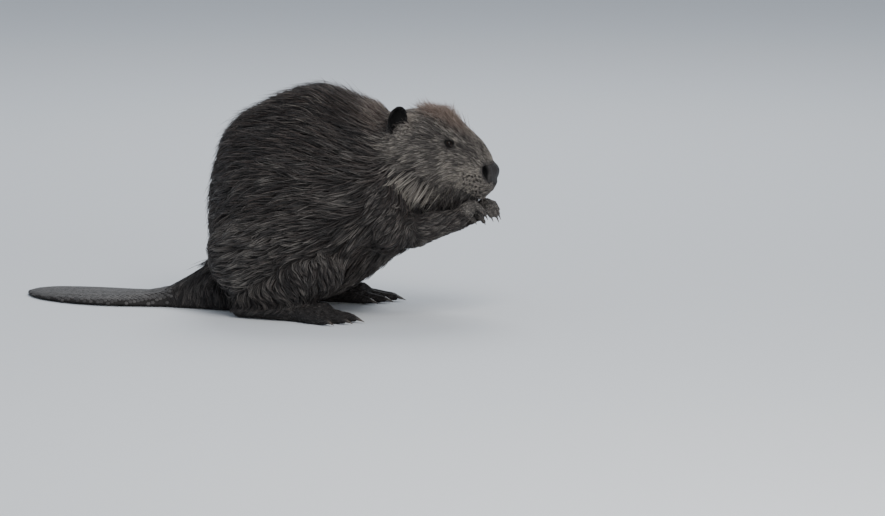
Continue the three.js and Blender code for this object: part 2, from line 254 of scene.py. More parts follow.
# %% Remesh the joined solids
SWELLING, VOXEL, SKIN_TRIANGLES = 0.45 * MM, 1.05 * MM, 150000
whole, flesh_of_face = joined_solids(FLESH + EYES, SWELLING)
flesh_tree = BVHTree.FromBMesh(whole)
skin_mesh = bpy.data.meshes.new("skin")
whole.to_mesh(skin_mesh)
whole.free()
skin = new_object("skin", skin_mesh)
reshape(skin, ("REMESH", {"mode": "VOXEL", "voxel_size": VOXEL}))
fine, fine_pairs = points_of(skin), pairs_of(skin)
firm_nodes = [number for number, node in enumerate(FLESH) if node.startswith(("hand", "foot", "ear"))]
firm = blurred(np.isin(part_of(fine), firm_nodes).astype(float), fine_pairs, 5)
softened, barely_softened = blurred(fine, fine_pairs, 12), blurred(fine, fine_pairs, 2)
move_points(skin, softened + (barely_softened - softened) * firm[:, None])
print("remeshed skin:", len(skin.data.vertices), "points")
reshape(skin, ("TRIANGULATE", {}), ("DECIMATE", {"ratio": SKIN_TRIANGLES / (2 * len(skin.data.polygons))}))
print("lighter skin:", len(skin.data.vertices), "points,", len(skin.data.polygons), "triangles")

# %% [markdown]
# ## More points where the detail is
# Eyelids, nostrils, lips and ears need points closer together than the back does. Only the triangles
# inside a few round regions are split in four, two or three times over, and the rest of the skin
# stays light.

# %% Split the skin's triangles around the nose, eyes and ears
EAR_AHEAD, EAR_OUT, EAR_UP = -3.0, 43.5, -2.5
SIGN = {"left": 1, "right": -1}
nose_tip = from_head((110, 0, -12))
eye_spots = {side: from_head((EYE_AHEAD, sign * EYE_OUT, EYE_UP)) for side, sign in SIGN.items()}
ear_spots = {side: from_head((EAR_AHEAD, sign * EAR_OUT, EAR_UP)) for side, sign in SIGN.items()}


def split_near(obj, spots):
    """Splits in four every triangle inside one of the balls, given as (centre, radius in mm)."""
    bm = bmesh.new()
    bm.from_mesh(obj.data)
    inside = set()
    for centre, radius in spots:
        centre = Vector(centre)
        inside |= {v for v in bm.verts if (v.co - centre).length < radius * MM}
    edges = [e for e in bm.edges if e.verts[0] in inside and e.verts[1] in inside]
    bmesh.ops.subdivide_edges(bm, edges=edges, cuts=1, use_grid_fill=True, smooth=0)
    bmesh.ops.triangulate(bm, faces=[f for f in bm.faces if len(f.verts) > 3])
    bm.to_mesh(obj.data)
    bm.free()


for nose_ball, eye_ball, ear_ball in ((42, 14, 20), (30, 11, 18), (0, 9, 0)):
    split_near(
        skin,
        [(nose_tip, nose_ball)]
        + [(spot, eye_ball) for spot in eye_spots.values()]
        + [(spot, ear_ball) for spot in ear_spots.values()],
    )
print("skin with a finer face:", len(skin.data.vertices), "points")

# %% [markdown]
# ## Which part of the body a point belongs to
# Coat length, colour and lie differ from part to part, but change gradually. So each point of the
# skin finds the nearest solid, gets that part's share of 1, and the shares are then blurred along the
# surface.

# %% Share the skin out among the parts


def group_of(node):
    return node.rsplit("_", 1)[0] if node.endswith(SIDES) else node


GROUPS = sorted({group_of(node) for node in FLESH})
points = points_of(skin)
pairs = pairs_of(skin)
part = part_of(points)
group = np.array([GROUPS.index(group_of(node)) for node in FLESH])[part]
shares = blurred(np.eye(len(GROUPS))[group], pairs, 14)


def share(name):
    return shares[:, GROUPS.index(name)]


print({name: int((group == i).sum()) for i, name in enumerate(GROUPS)})

# %% [markdown]
# ## Soft hollows
# Where a limb or the jaw meets the body, the solids meet in a sharp crease. On the animal, loose skin
# and fat bridge it. The skin is smoothed, but only points that would rise keep their new place, so
# hollows fill and rounded forms stay as they are.

# %% Fill the creases between the parts
fleshy = share("trunk") + share("neck") + share("thigh") + share("upper_arm") + 0.7 * share("shank")
ahead, left, up = in_head(points).T
throat = step(60, 30, ahead) * step(-20, -40, up) * share("head")
soft = np.clip(fleshy + throat + 0.5 * share("forearm"), 0, 1)
for _ in range(4):
    move_points(skin, points)
    normals = unit(blurred(normals_of(skin), pairs, 3))
    rise = ((blurred(points, pairs, 70) - points) * normals).sum(1)
    points = points + normals * (np.maximum(rise, 0) * soft)[:, None]
points = points + (blurred(points, pairs, 16) - points) * np.clip(fleshy, 0, 1)[:, None]
move_points(skin, points)
last_rise = float((np.maximum(rise, 0) * soft).max() / MM)
print("creases filled by up to", round(last_rise, 2), "mm in the last round")

# %% [markdown]
# ## Draw the skin in by the depth of the coat
# The solids reach out to the tips of the hair. The real skin lies below the coat, so every point
# moves inwards by the coat's depth there: 8 mm on the trunk, under 1 mm on the nose, ears, hands and
# feet.

# %% Draw the skin in
COAT_DEPTH = {
    "trunk": 8.0,
    "neck": 7.5,
    "thigh": 7.5,
    "head": 3.0,
    "upper_arm": 5.0,
    "forearm": 3.0,
    "shank": 4.5,
    "hand": 0.1,
    "foot": 0.2,
    "ear": 0.5,
    "tail": 0.2,
}
depth = shares @ np.array([COAT_DEPTH[name] for name in GROUPS])
ahead, left, up = in_head(points).T
out = np.abs(left)
muzzle = step(62, 84, ahead) * share("head")
nose = hill(ahead, 109, 13) * hill(out, 0, 21) * hill(up, -5, 13) * share("head")
depth = depth * (1 - 0.55 * muzzle) * (1 - step(0.15, 0.5, nose))
around_eye = hill(ahead, EYE_AHEAD, 12) * hill(up, EYE_UP, 10) * step(20, 26, out) * share("head")
depth = depth * (1 - 0.6 * around_eye)
smooth_normal = unit(blurred(normals_of(skin), pairs, 6))
points = points - smooth_normal * (depth * MM)[:, None]
SOLE_HEIGHT = 0.2 * MM
points[:, 2] = np.maximum(points[:, 2], SOLE_HEIGHT)
move_points(skin, points)
print("coat depth from", round(depth.min(), 2), "to", round(depth.max(), 2), "mm")

# %% [markdown]
# ## Ears
# A beaver's ear is a small round cup of dark skin, open forwards and outwards, with a rolled rim.
# Remeshing softens thin things, so the cup is pressed back into shape. Seen along the direction that
# the ear faces, its front and its back are two bowls, one inside the other, and each point goes to
# the bowl on its own side.

# %% Press the ears into cups
EAR_LONG, EAR_WIDE = 15.5, 12.5
EAR_MIDDLE = {side: np.array((EAR_AHEAD, sign * EAR_OUT, EAR_UP)) for side, sign in SIGN.items()}
BOWL_BOTTOM, BOWL_DEPTH, EAR_THICKNESS = -4.6, 6.8, 1.9
# A mask that darkens the skin's colour: painted shade in the ear cups, nostrils, mouth, lid openings and the
# creases of the paws, and the dark skin of the ears, lids and whisker roots.
shade = np.ones(len(points))
in_ear = np.zeros(len(points))
ear_share = share("ear")
for side, sign in SIGN.items():
    facing = unit(np.array((0.62, sign * 0.78, 0.05)))
    wide_way = unit(np.cross((-0.28, sign * 0.2, 0.95), facing))
    long_way = np.cross(facing, wide_way)
    axes = np.array((wide_way, long_way, facing))
    w, l, f = ((in_head(points) - EAR_MIDDLE[side]) @ axes.T).T
    towards = normals_of(skin) @ HEAD_AXES @ facing
    from_middle = np.hypot(w / EAR_WIDE, l / EAR_LONG)
    in_cup = step(1.25, 0.98, from_middle) * step(-15, -9, l) * step(9, 6, np.abs(f))
    in_cup = in_cup * step(0.2, 0.6, ear_share)
    cup = BOWL_BOTTOM + BOWL_DEPTH * np.minimum(from_middle, 1.05) ** 2.4
    cup = cup + 1.0 * hill(w * sign, 3.5, 1.6) * hill(l, -1, 6)  # the fold inside
    front = step(-0.15, 0.3, towards) * in_cup
    behind = step(0.15, -0.3, towards) * in_cup
    f = f + (cup - f) * front + (cup - EAR_THICKNESS - f) * behind
    pressed = from_head(np.stack([w, l, f], 1) @ axes + EAR_MIDDLE[side])
    points = np.where((front + behind)[:, None] > 0, pressed, points)
    in_ear = np.maximum(in_ear, front * step(1.0, 0.72, from_middle))
points = points + (blurred(points, pairs, 2) - points) * (ear_share > 0.3)[:, None]
# Painted shade: the inside of the ear cup is darkened as a hollow in shadow.
shade = shade * (1 - 0.85 * in_ear)
move_points(skin, points)
print("points in the ear cups:", int((in_ear > 0.5).sum()))

# %% [markdown]
# ## Eyelids
# A beaver's eye is small, dark and set in lids that follow the ball like a rolled hem. Seen along the
# eye's own axis the skin there is a height field: inside the opening it dives behind the ball, at the
# rim it rolls over the ball, and farther out it meets the cheek, with a fold above, a bag below and a
# low brow.

# %% Shape the eyelids
EYE_RADIUS, EYE_STANDS_OUT = 4.9, 0.2
eye_opening = np.full(len(points), 9.0)
brow_highlight = np.zeros(len(points))
lid_dark = np.zeros(len(points))
LID_FROM_OPENING = [0.9, 1.0, 1.15, 1.45, 1.8, 2.3]
LID_THICKNESS = [0.25, 0.55, 0.9, 0.95, 0.5, 0.3]


def eye_frame(side):
    """An eyeball's middle in the head's frame, and its axes: along the opening, up across it, outwards."""
    sign = SIGN[side]
    outward = unit(np.array((0.20, sign, 0.10)))
    along_way = unit(np.array((1.0, 0, -0.05)) - outward * (outward @ np.array((1.0, 0, -0.05))))
    over_way = -sign * np.cross(outward, along_way)
    ball = np.array((EYE_AHEAD, sign * (EYE_OUT + EYE_STANDS_OUT), EYE_UP))
    return ball, np.array((along_way, over_way, outward))


for side in SIDES:
    ball, axes = eye_frame(side)
    s, v, h = ((in_head(points) - ball) @ axes.T).T
    r = np.hypot(s, v)
    near = (h > -3) & (r < 14)
    half_long, half_high = np.where(s > 0, 4.3, 3.7), np.where(v > 0, 2.8, 2.4)
    opening = np.sqrt((np.abs(s) / half_long) ** 1.7 + (np.abs(v) / half_high) ** 2)
    shell = EYE_RADIUS + np.interp(opening, LID_FROM_OPENING, LID_THICKNESS)
    lid = np.sqrt(np.maximum(shell**2 - r**2, 0.01))
    rolled = h + 0.45 * np.logaddexp(0, (lid - h) / 0.45)
    brow, fold = 0.9 * hill(v, 7.4, 2.4) * hill(s, 0.5, 6.5), 0.5 * hill(v, 4.9, 0.7) * hill(s, 0, 4.2)
    bag, crease = 0.4 * hill(v, -5.6, 1.5) * hill(s, 0, 5), 0.35 * hill(v, -4.1, 0.6) * hill(s, 0, 3.6)
    rolled = rolled + brow - fold
    rolled = rolled + bag - crease
    behind_ball = np.sqrt(np.maximum(EYE_RADIUS**2 - r**2, 0.01)) - 1.7
    edge = step(0.80, 0.97, opening)
    lifted = np.where(near, behind_ball * (1 - edge) + rolled * edge, h)
    points = points + np.outer(lifted - h, axes[2]) @ HEAD_AXES.T * MM
    eye_opening = np.where(near, np.minimum(eye_opening, opening), eye_opening)
    lid_dark = np.maximum(lid_dark, near * step(2.7, 1.9, opening) * step(-4.5, 0, s))
    # The arc over the eye is a mask for a painted highlight on the brow.
    brow_highlight = np.maximum(brow_highlight, near * hill(v, 6.6, 2.4) * hill(s, 3.5, 6.5))
    print(side, "eye: skin stands", round(float(h[near & (r < 4)].mean()), 2), "mm out before shaping")
# Darkens the lid rim, which is dark skin of its own, and, as painted shade, the skin folding in behind the
# ball.
shade = shade * (1 - 0.88 * step(2.3, 1.1, eye_opening))
move_points(skin, points)

# %% [markdown]
# ## Nose and mouth
# The nose is a broad pad of bare dark leather with a comma-shaped nostril on each side. A groove runs
# down its middle and parts the upper lip, and the mouth runs back under the whisker pads. Each groove
# is a path laid on the skin, and the skin sinks by a soft hollow around it. Ridges such as the
# nostril's rim are the same thing with the sign turned.

# %% Sink a groove along a path
def tree_of(places):
    """A tree that finds the nearest of these places."""
    tree = KDTree(len(places))
    for i, place in enumerate(places.tolist()):
        tree.insert(place, i)
    tree.balance()
    return tree


def nearest_in(tree, places):
    """For each place, the number of the nearest one in the tree, and how far away it is."""
    found = [tree.find(place) for place in places.tolist()]
    return np.array([f[1] for f in found]), np.array([f[2] for f in found])


local = in_head(points)
nearest = tree_of(local)


def hollow(path, widths, depths):
    """How deep a soft groove along this path is at each point of the skin, in mm, on both sides."""
    places, w, d = (np.array(values, float) for values in (path, widths, depths))
    ends = np.arange(len(places))
    fine = np.linspace(0, len(places) - 1, 5 * len(places))
    line_of = np.stack([np.interp(fine, ends, places[:, k]) for k in range(3)], 1)
    line_of = np.array([nearest.find((a, -b, c))[0] for a, b, c in line_of])
    line_of[:, 1] = np.abs(line_of[:, 1])
    w, d = np.interp(fine, ends, w), np.interp(fine, ends, d)
    where = np.stack([local[:, 0], np.abs(local[:, 1]), local[:, 2]], 1)
    deepest = np.zeros(len(where))
    close = np.flatnonzero(where[:, 0] > 60)
    for a, b, wa, wb, da, db in zip(line_of, line_of[1:], w, w[1:], d, d[1:]):
        run = b - a
        t = np.clip((where[close] - a) @ run / max(run @ run, 1e-9), 0, 1)
        away = np.linalg.norm(where[close] - a - t[:, None] * run, axis=1)
        depth_here = (da + t * (db - da)) * np.exp(-((away / (wa + t * (wb - wa))) ** 2))
        deepest[close] = np.maximum(deepest[close], depth_here)
    return deepest


print("grooves are laid on", int((local[:, 0] > 60).sum()), "points of the muzzle")

# %% Lay the grooves and ridges: each has a path, and a width and a depth in mm along it
NOSTRIL = [(100.5, 21, -1.5), (103.6, 20.8, -5.4), (107.5, 20.8, -9.2), (111, 20.6, -12.6)]
NOSTRIL_RIM = [(97.5, 21.5, -2.5), (100, 20, 2.2), (105, 18.5, 1.2), (109.5, 17.5, -4), (112.5, 17, -9)]
LIP_CLEFT = [(117, 0, -6), (118, 0, -14), (117, 0, -24), (112, 0, -34)]
MOUTH = [(114, 1, -33), (112, 12, -35), (104, 18.5, -38), (93, 22, -41.5), (84, 23.5, -43.5)]
UPPER_LIP = [(116, 3, -29), (113, 13, -31), (105, 20, -34.5), (94, 24, -38)]
NOSE_PAD = [(110, 3, 1), (106.5, 13, -1), (103.5, 19, -4.5), (106.5, 19.5, -9), (110, 17, -11.5)]
NOSE_PAD = NOSE_PAD + [(111.5, 12, -5), (111.5, 7, -2), (114.5, 7, -8), (114, 1, -4)]
pad = hollow(NOSE_PAD, (4.6, 4.2, 4.2, 4.4, 4.0, 5.4, 4.8, 5.2, 6.0), [1] * len(NOSE_PAD))
nostril = hollow(NOSTRIL, (2.0, 2.9, 2.0, 1.1), (2.2, 4.6, 2.6, 0.7))
rim = hollow(NOSTRIL_RIM, (1.3, 1.7, 1.8, 1.6, 1.2), (0.4, 1.0, 1.1, 0.9, 0.4))
cleft = hollow(LIP_CLEFT, (1.2, 1.2, 1.4, 1.6), (0.4, 0.9, 1.7, 1.8))
mouth = hollow(MOUTH, (1.4, 1.4, 1.4, 1.4, 1.4), (1.6, 2.1, 2.1, 1.8, 0.8))
lip_roll = hollow(UPPER_LIP, (2.2, 2.4, 2.4, 2.2), (0.6, 0.9, 0.9, 0.5))
smooth_normal = unit(blurred(normals_of(skin), pairs, 8))
points = points + smooth_normal * ((rim + lip_roll - nostril - cleft - mouth) * MM)[:, None]
# Painted shade: the skin is darkened inside the nostrils, along the mouth and in the lip's cleft, by how
# deep each hollow is.
shade = shade * (1 - 0.97 * np.clip(nostril / 2, 0, 1)) * (1 - 0.8 * np.clip(mouth / 1.6, 0, 1))
shade = shade * (1 - 0.6 * np.clip(cleft / 1.4, 0, 1))
move_points(skin, points)
# Painted shade: creases between the fingers and toes are darkened by how far they sink.
cavity = ((blurred(points, pairs, 6) - points) * unit(blurred(normals_of(skin), pairs, 2))).sum(1) / MM
shade = shade * (1 - 0.7 * step(0.02, 0.30, cavity) * np.clip(share("hand") + share("foot"), 0, 1))
print("nostrils", round(float(nostril.max()), 2), "mm deep, mouth", round(float(mouth.max()), 2), "mm deep")

# %% [markdown]
# ## Materials: the colours of fur
# Each hair is dark at its root and paler towards its tip, which stands partly for the hair's own dark
# base and partly for painted shade deep in the coat, and each lock differs a little from the next. That
# is one effect for the skin and the coat alike, so it is a node group. It takes three masks that the
# meshes carry: tone (dark to pale), rust (how reddish) and along (0 at the root, 1 at the tip).

# %% Define the helpers for materials


def group_with(name, inputs, outputs):
    made = bpy.data.node_groups.new(name, "ShaderNodeTree")
    for kind, title, value in inputs:
        made.interface.new_socket(title, in_out="INPUT", socket_type=kind).default_value = value
    for kind, title in outputs:
        made.interface.new_socket(title, in_out="OUTPUT", socket_type=kind)
    given, gives = made.nodes.new("NodeGroupInput"), made.nodes.new("NodeGroupOutput")
    return made, given.outputs, gives


def feed(tree, node, **inputs):
    """Sets or links a node's inputs, given by name with _ for a space, or by number as in i2."""
    for name, value in inputs.items():
        key = int(name[1:]) if name[1:].isdigit() and name[0] == "i" else name.replace("_", " ")
        if isinstance(value, bpy.types.NodeSocket):
            tree.links.new(value, node.inputs[key])
        else:
            node.inputs[key].default_value = value


def add(tree, kind, settings=None, **inputs):
    """A new node with its settings made and its inputs set or linked."""
    node = tree.nodes.new(kind)
    for name, value in (settings or {}).items():
        setattr(node, name, value)
    feed(tree, node, **inputs)
    return node


def blend_colours(tree, factor, a, b, mode="MIX"):
    settings = {"data_type": "RGBA", "blend_type": mode}
    return add(tree, "ShaderNodeMix", settings, i0=factor, i6=a, i7=b).outputs[2]


def maths(tree, operation, *values):
    numbered = {f"i{k}": value for k, value in enumerate(values)}
    return add(tree, "ShaderNodeMath", {"operation": operation}, **numbered).outputs[0]


def between(tree, value, least, most):
    """The value, from 0 to 1, spread from least to most."""
    return add(tree, "ShaderNodeMapRange", Value=value, To_Min=least, To_Max=most).outputs[0]


def colour(r, g, b):
    return (r, g, b, 1)


print("helpers for materials ready")

# %% Mix the colours of fur
FUR_DARK = colour(0.0068, 0.0062, 0.0066)
FUR_BROWN = colour(0.055, 0.049, 0.0465)
FUR_GREY = colour(0.250, 0.229, 0.206)
FUR_PALE = colour(0.52, 0.475, 0.41)
FUR_RUST = colour(0.30, 0.185, 0.140)

fur_colour, given, gives = group_with(
    "Fur colour",
    [
        ("NodeSocketFloat", "Tone", 0.5),
        ("NodeSocketFloat", "Rust", 0.0),
        ("NodeSocketFloat", "Along", 0.5),
    ],
    [("NodeSocketColor", "Colour"), ("NodeSocketFloat", "Roughness")],
)
tone_curve = add(fur_colour, "ShaderNodeValToRGB", Fac=given["Tone"])
ramp = tone_curve.color_ramp
ramp.elements[0].position, ramp.elements[0].color = 0.0, FUR_DARK
ramp.elements[1].position, ramp.elements[1].color = 1.0, FUR_PALE
ramp.elements.new(0.45).color = FUR_BROWN
ramp.elements.new(0.8).color = FUR_GREY
reddish = blend_colours(fur_colour, given["Rust"], tone_curve.outputs[0], FUR_RUST)
from_tip = maths(fur_colour, "SUBTRACT", 1.0, given["Along"])
# Painted shade: the colour darkens towards the root, partly as the hair's own dark base and partly as shade
# deep in the coat between locks.
root_dark_and_coat_shade = maths(fur_colour, "MULTIPLY", maths(fur_colour, "POWER", from_tip, 0.8), 0.86)
feed(
    fur_colour, gives,
    Colour=blend_colours(fur_colour, root_dark_and_coat_shade, reddish, FUR_DARK),
    Roughness=between(fur_colour, given["Along"], 0.75, 0.46),
)
print("fur colour group ready")

# %% Make the fur material


def new_material(name):
    material = bpy.data.materials.new(name)
    material.use_nodes = True
    shader = material.node_tree.nodes["Principled BSDF"]
    return material, material.node_tree, shader


def mask(tree, name):
    return add(tree, "ShaderNodeAttribute", {"attribute_name": name}).outputs["Fac"]


fur, tree, shader = new_material("fur")
hair = add(tree, "ShaderNodeGroup", {"node_tree": fur_colour})
feed(tree, hair, Tone=mask(tree, "tone"), Rust=mask(tree, "rust"), Along=mask(tree, "along"))
feed(tree, shader, Base_Color=hair.outputs["Colour"], Roughness=hair.outputs["Roughness"])
feed(tree, shader, Specular_IOR_Level=0.32, Sheen_Weight=0.05, Sheen_Roughness=0.45)
print("fur ready")

# %% [markdown]
# ## The lie of the coat
# Hair lies away from the nose. On the head it runs straight back from the nose pad, on the trunk back
# over the arched spine, and at the rump it turns down. It hangs down and back below the cheeks and
# runs down the limbs. These directions are written as a few simple flows, mixed by the shares of the
# parts, and laid flat on the skin.

# %% Comb the coat
bow_middle = np.array((low[0] + 0.47 * length, 0, 0.12 * height))
rump_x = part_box("trunk")[0][0]


def body_flow(p):
    """Backwards over the back, and turning down towards the rump."""
    spoke = p - bow_middle
    spoke[:, 1] = 0
    around = unit(np.stack([-spoke[:, 2], np.zeros(len(p)), spoke[:, 0]], 1))
    rearward = step(rump_x + 0.07, rump_x, p[:, 0])
    high_up = step(0.42 * height, 0.80 * height, p[:, 2])
    back = np.array((-1.0, 0, 0)) * (0.80 - 0.60 * rearward)[:, None]
    down = np.array((0, 0, -0.26)) * (1 - high_up)[:, None]
    turn = 0.42 * np.maximum(high_up, rearward) + 0.50 * rearward
    return unit(back + down + around * turn[:, None])


def head_flow(p):
    """Away from the nose pad, straight back along the head, and level across the cheek below the eye."""
    local = in_head(p)
    away = local - np.array((128.0, 0, -6.0))
    level = step(8, -20, local[:, 2]) * step(100, 66, local[:, 0])
    back = unit(unit(away) + np.array((-0.45, 0, 0))) @ HEAD_AXES.T
    return unit(back + np.array((0, 0, -0.62)) * level[:, None])


LIMB_WAY = {}
for limb, (start, end) in {
    "upper_arm": ("upper_arm", "forearm"),
    "forearm": ("forearm", "hand"),
    "shank": ("thigh", "foot"),
}.items():
    for side in SIDES:
        LIMB_WAY[f"{limb}_{side}"] = unit(middle(f"{end}_{side}") - middle(f"{start}_{side}"))


def lie_of(p, n, part, shares):
    flow = body_flow(p.copy())
    local = in_head(p)
    near_head = step(-26, 14, local[:, 0] + 0.25 * local[:, 2])[:, None]
    flow = flow * (1 - near_head) + head_flow(p) * near_head
    for node, way in LIMB_WAY.items():
        mine = (part == FLESH.index(node)) * shares[:, GROUPS.index(group_of(node))]
        mine = mine * (0.45 if "upper_arm" in node else 1.0)
        flow = flow * (1 - mine[:, None]) + way * mine[:, None]
    ruff = hill(local[:, 0], 42, 27) * step(-36, -54, local[:, 2])
    hanging = np.array((-0.95, 0, -0.85))
    flow = flow * (1 - ruff[:, None]) + hanging * (1.15 * ruff)[:, None]
    flow = flow - n * (flow * n).sum(1, keepdims=True)
    return unit(flow)


smooth_normal = unit(blurred(normals_of(skin), pairs, 10))
flow = lie_of(points, smooth_normal, part, shares)
on_limb = sum(share(name) for name in ("upper_arm", "forearm", "shank", "hand", "foot"))
on_limb = np.clip(on_limb, 0, 1)[:, None]
flow = blurred(flow, pairs, 12) * (1 - on_limb) + blurred(flow, pairs, 70) * on_limb
flow = unit(flow - smooth_normal * (flow * smooth_normal).sum(1, keepdims=True))
print("combed", len(flow), "points")

# %% [markdown]
# ## Coat length, thickness and markings
# These are masks on the skin's points too. The back is darkest and the head is palest. The coat below
# the cheek is painted dark, as shade behind the ruff's pale locks, and the forehead and the nape are
# reddish. The chin and the front of the lip are painted pale as if lit, and an arc over the eye as the
# brow's highlight. The skin under the coat carries the same masks, so no pale scalp shows between
# tufts.

# %% Set the coat's masks
COAT = {  # tuft length and width in mm, share of full thickness, tone, rust
    "trunk": (29, 1.05, 1.0, 0.405, 0.03),
    "neck": (23, 0.95, 1.0, 0.50, 0.07),
    "thigh": (25, 1.10, 1.0, 0.49, 0.01),
    "head": (11, 0.50, 1.0, 0.69, 0.03),
    "upper_arm": (20, 0.95, 1.0, 0.44, 0.04),
    "forearm": (11, 0.72, 1.0, 0.42, 0.03),
    "shank": (16, 1.0, 1.0, 0.36, 0.02),
    "hand": (3.2, 0.36, 0.42, 0.66, 0.0),
    "foot": (4.0, 0.60, 0.35, 0.24, 0.0),
    "ear": (2.6, 0.36, 0.45, 0.08, 0.0),
    "tail": (14, 1.0, 0.0, 0.30, 0.0),
}
tuft_length, tuft_width, cover, tone, rust = (shares @ np.array([COAT[name] for name in GROUPS])).T
print("tuft length from", round(tuft_length.min(), 1), "to", round(tuft_length.max(), 1), "mm")

# %% Mark the places where the coat changes
ahead, left, up = in_head(points).T
out = np.abs(left)
head_share = share("head")
x, _, z = points.T / MM
forehead = hill(ahead, 32, 27) * step(12, 27, up) * head_share
brow_front = hill(ahead, 56, 22) * step(10, 22, up) * head_share
snout = step(66, 88, ahead) * head_share
cheek = hill(ahead, 34, 30) * hill(up, -26, 24) * step(10, 22, out) * head_share
whisker_pad = hill(ahead, 94, 14) * hill(up, -24, 13) * step(7, 14, out) * head_share
chin = hill(ahead, 80, 20) * step(-34, -42, up) * head_share
lip_front = hill(ahead, 114, 8) * hill(up, -28, 8) * step(15, 9, out) * head_share
ruff = hill(ahead, 36, 34) * step(-29, -44, up) * np.maximum(share("neck"), head_share)
nape = hill(ahead, -20, 26) * hill(up, 2, 30) * share("neck")
shoulder = hill(ahead, -6, 40) * hill(up, -62, 32)
muzzle_side = hill(ahead, 80, 13) * hill(up, 3, 11) * step(8, 15, out) * head_share
lobe = hill(ahead, -7, 8) * hill(up, -15, 8) * step(22, 30, out)
by_ear = hill(ahead, 11, 8) * hill(up, 10, 12) * step(18, 27, out) * head_share
belly = step(70, 30, z) * (share("trunk") + share("thigh"))
back = step(150, 215, z) * share("trunk")
rump = step(rump_x / MM + 60, rump_x / MM + 10, x) * share("trunk")
print("cheek on", int((cheek > 0.5).sum()), "points, ruff on", int((ruff > 0.5).sum()))

# %% Change its length, tone and rust there
tuft_length = tuft_length * (1 - 0.55 * snout) * (1 + 0.30 * forehead + 0.35 * cheek)
tuft_length = tuft_length * (1 - 0.68 * around_eye)
tuft_length = (tuft_length + 8 * ruff - 6 * belly) * (1 - 0.52 * whisker_pad)
to_ear = np.min([np.linalg.norm(points - spot, axis=1) for spot in ear_spots.values()], axis=0) / MM
beside_ear = step(27, 17, to_ear) * (1 - 0.8 * step(0.3, 0.6, ear_share))
tuft_length = tuft_length * (1 - (0.68 + 0.12 * step(-4, 6, ahead)) * beside_ear)
tuft_width = tuft_width * (1 - 0.25 * snout) * (1 - 0.30 * around_eye) + 0.30 * ruff
# Painted highlight: the arc over the eye is paler, as the lit top of the brow.
tone = tone + 0.06 * cheek + 0.64 * whisker_pad + 0.50 * by_ear + 0.26 * forehead + 0.55 * brow_highlight
tone = tone - 0.10 * muzzle_side - 0.36 * lobe + 0.09 * shoulder
# Painted light and shade: the chin is paler as if lit from below, the lip's front paler as if lit from
# behind, and the coat under the cheek darker as shade behind the ruff's locks. The lip's pink tint on the
# next line is its own colour.
tone = tone - 0.52 * back - 0.07 * rump + 0.46 * chin - 0.40 * ruff + 0.50 * lip_front + 0.04 * belly
rust = rust + 0.40 * forehead + 0.30 * brow_front + 0.11 * nape + 0.22 * by_ear + 0.20 * lip_front
tail_root = step(rump_x / MM - 52, rump_x / MM - 12, x)
cover = np.maximum(cover, share("tail") * tail_root)
cover = cover * (1 - step(0.18, 0.34, pad)) * step(1.25, 1.9, eye_opening) * (1 - 0.95 * in_ear)
shade = shade * (1 - 0.55 * np.clip(ear_share, 0, 1))
tone = tone * (1 - 0.55 * step(0.1, 0.4, pad)) * (1 - 0.5 * lid_dark)
wet = 0.22 * step(0.3, 0.6, pad) * (1 - np.clip(nostril / 1.5, 0, 1))
wet = wet + 0.05 * (share("hand") + share("foot"))
depth_now = depth * (1 - 0.62 * beside_ear)
print("tone from", round(float(tone.min()), 2), "to", round(float(tone.max()), 2))

# %% [markdown]
# ## Where the whiskers stand
# Stiff whiskers stand in rows on the pads beside the nose, with a few over the eye. Around each root
# the fur is thin and dark, which shows as a dot, so their places are needed before the coat grows.

# %% Place the whiskers
PAD = np.array([(83, 30, -18), (101, 23.5, -12), (112, 17, -31), (92, 19, -38)], float)
WHISKER_ROWS, WHISKERS_IN_ROW = 5, 6
whisker_rng = np.random.default_rng(21)
spots, ways, lengths = [], [], []
for side, sign in SIGN.items():
    for row in range(WHISKER_ROWS):
        for k in range(WHISKERS_IN_ROW):
            u, v = (k + 0.5 + 0.3 * (row % 2)) / WHISKERS_IN_ROW, (row + 0.5) / WHISKER_ROWS
            place = (PAD[0] * (1 - u) + PAD[1] * u) * (1 - v) + (PAD[3] * (1 - u) + PAD[2] * u) * v
            place = place + whisker_rng.normal(0, 0.8, 3)
            spots.append(place * (1, sign, 1))
            ways.append((0.15 * u - 0.55 * (1 - u), sign * 1.0, -0.25 - 0.35 * v))
            lengths.append(16 + 20 * (1 - u) + 6 * whisker_rng.random())
    for k in range(3):
        spots.append(np.array((EYE_AHEAD - 3 + 3 * k, sign * 36, 9.5)))
        ways.append((-0.5, sign * 0.9, 0.5))
        lengths.append(16 + 6 * whisker_rng.random())
spots = points[[np.linalg.norm(points - place, axis=1).argmin() for place in from_head(np.array(spots))]]
spot_tree = tree_of(spots)
to_whisker = nearest_in(spot_tree, points)[1] / MM
shade = shade * (1 - 0.6 * step(2.2, 1.0, to_whisker) * head_share)
print(len(spots), "whiskers to stand on the pads and brows")

# %% [markdown]
# ## The skin's own look
# Bare skin on the nose, ears, hands, feet and tail is dark leather with a fine pebbled grain. Under
# the coat it only has to be dark and felt-like. One material mixes both by the cover mask.

# %% Make the grain of leather


def keep_masks(obj, **masks):
    for name, values in masks.items():
        layer = obj.data.attributes.get(name) or obj.data.attributes.new(name, "FLOAT", "POINT")
        layer.data.foreach_set("value", values.astype(np.float32))


def dress(obj, material, smooth=True):
    """Gives the object this one material, and smooth or flat shading."""
    obj.data.materials.clear()
    obj.data.materials.append(material)
    obj.data.polygons.foreach_set("use_smooth", np.full(len(obj.data.polygons), smooth))


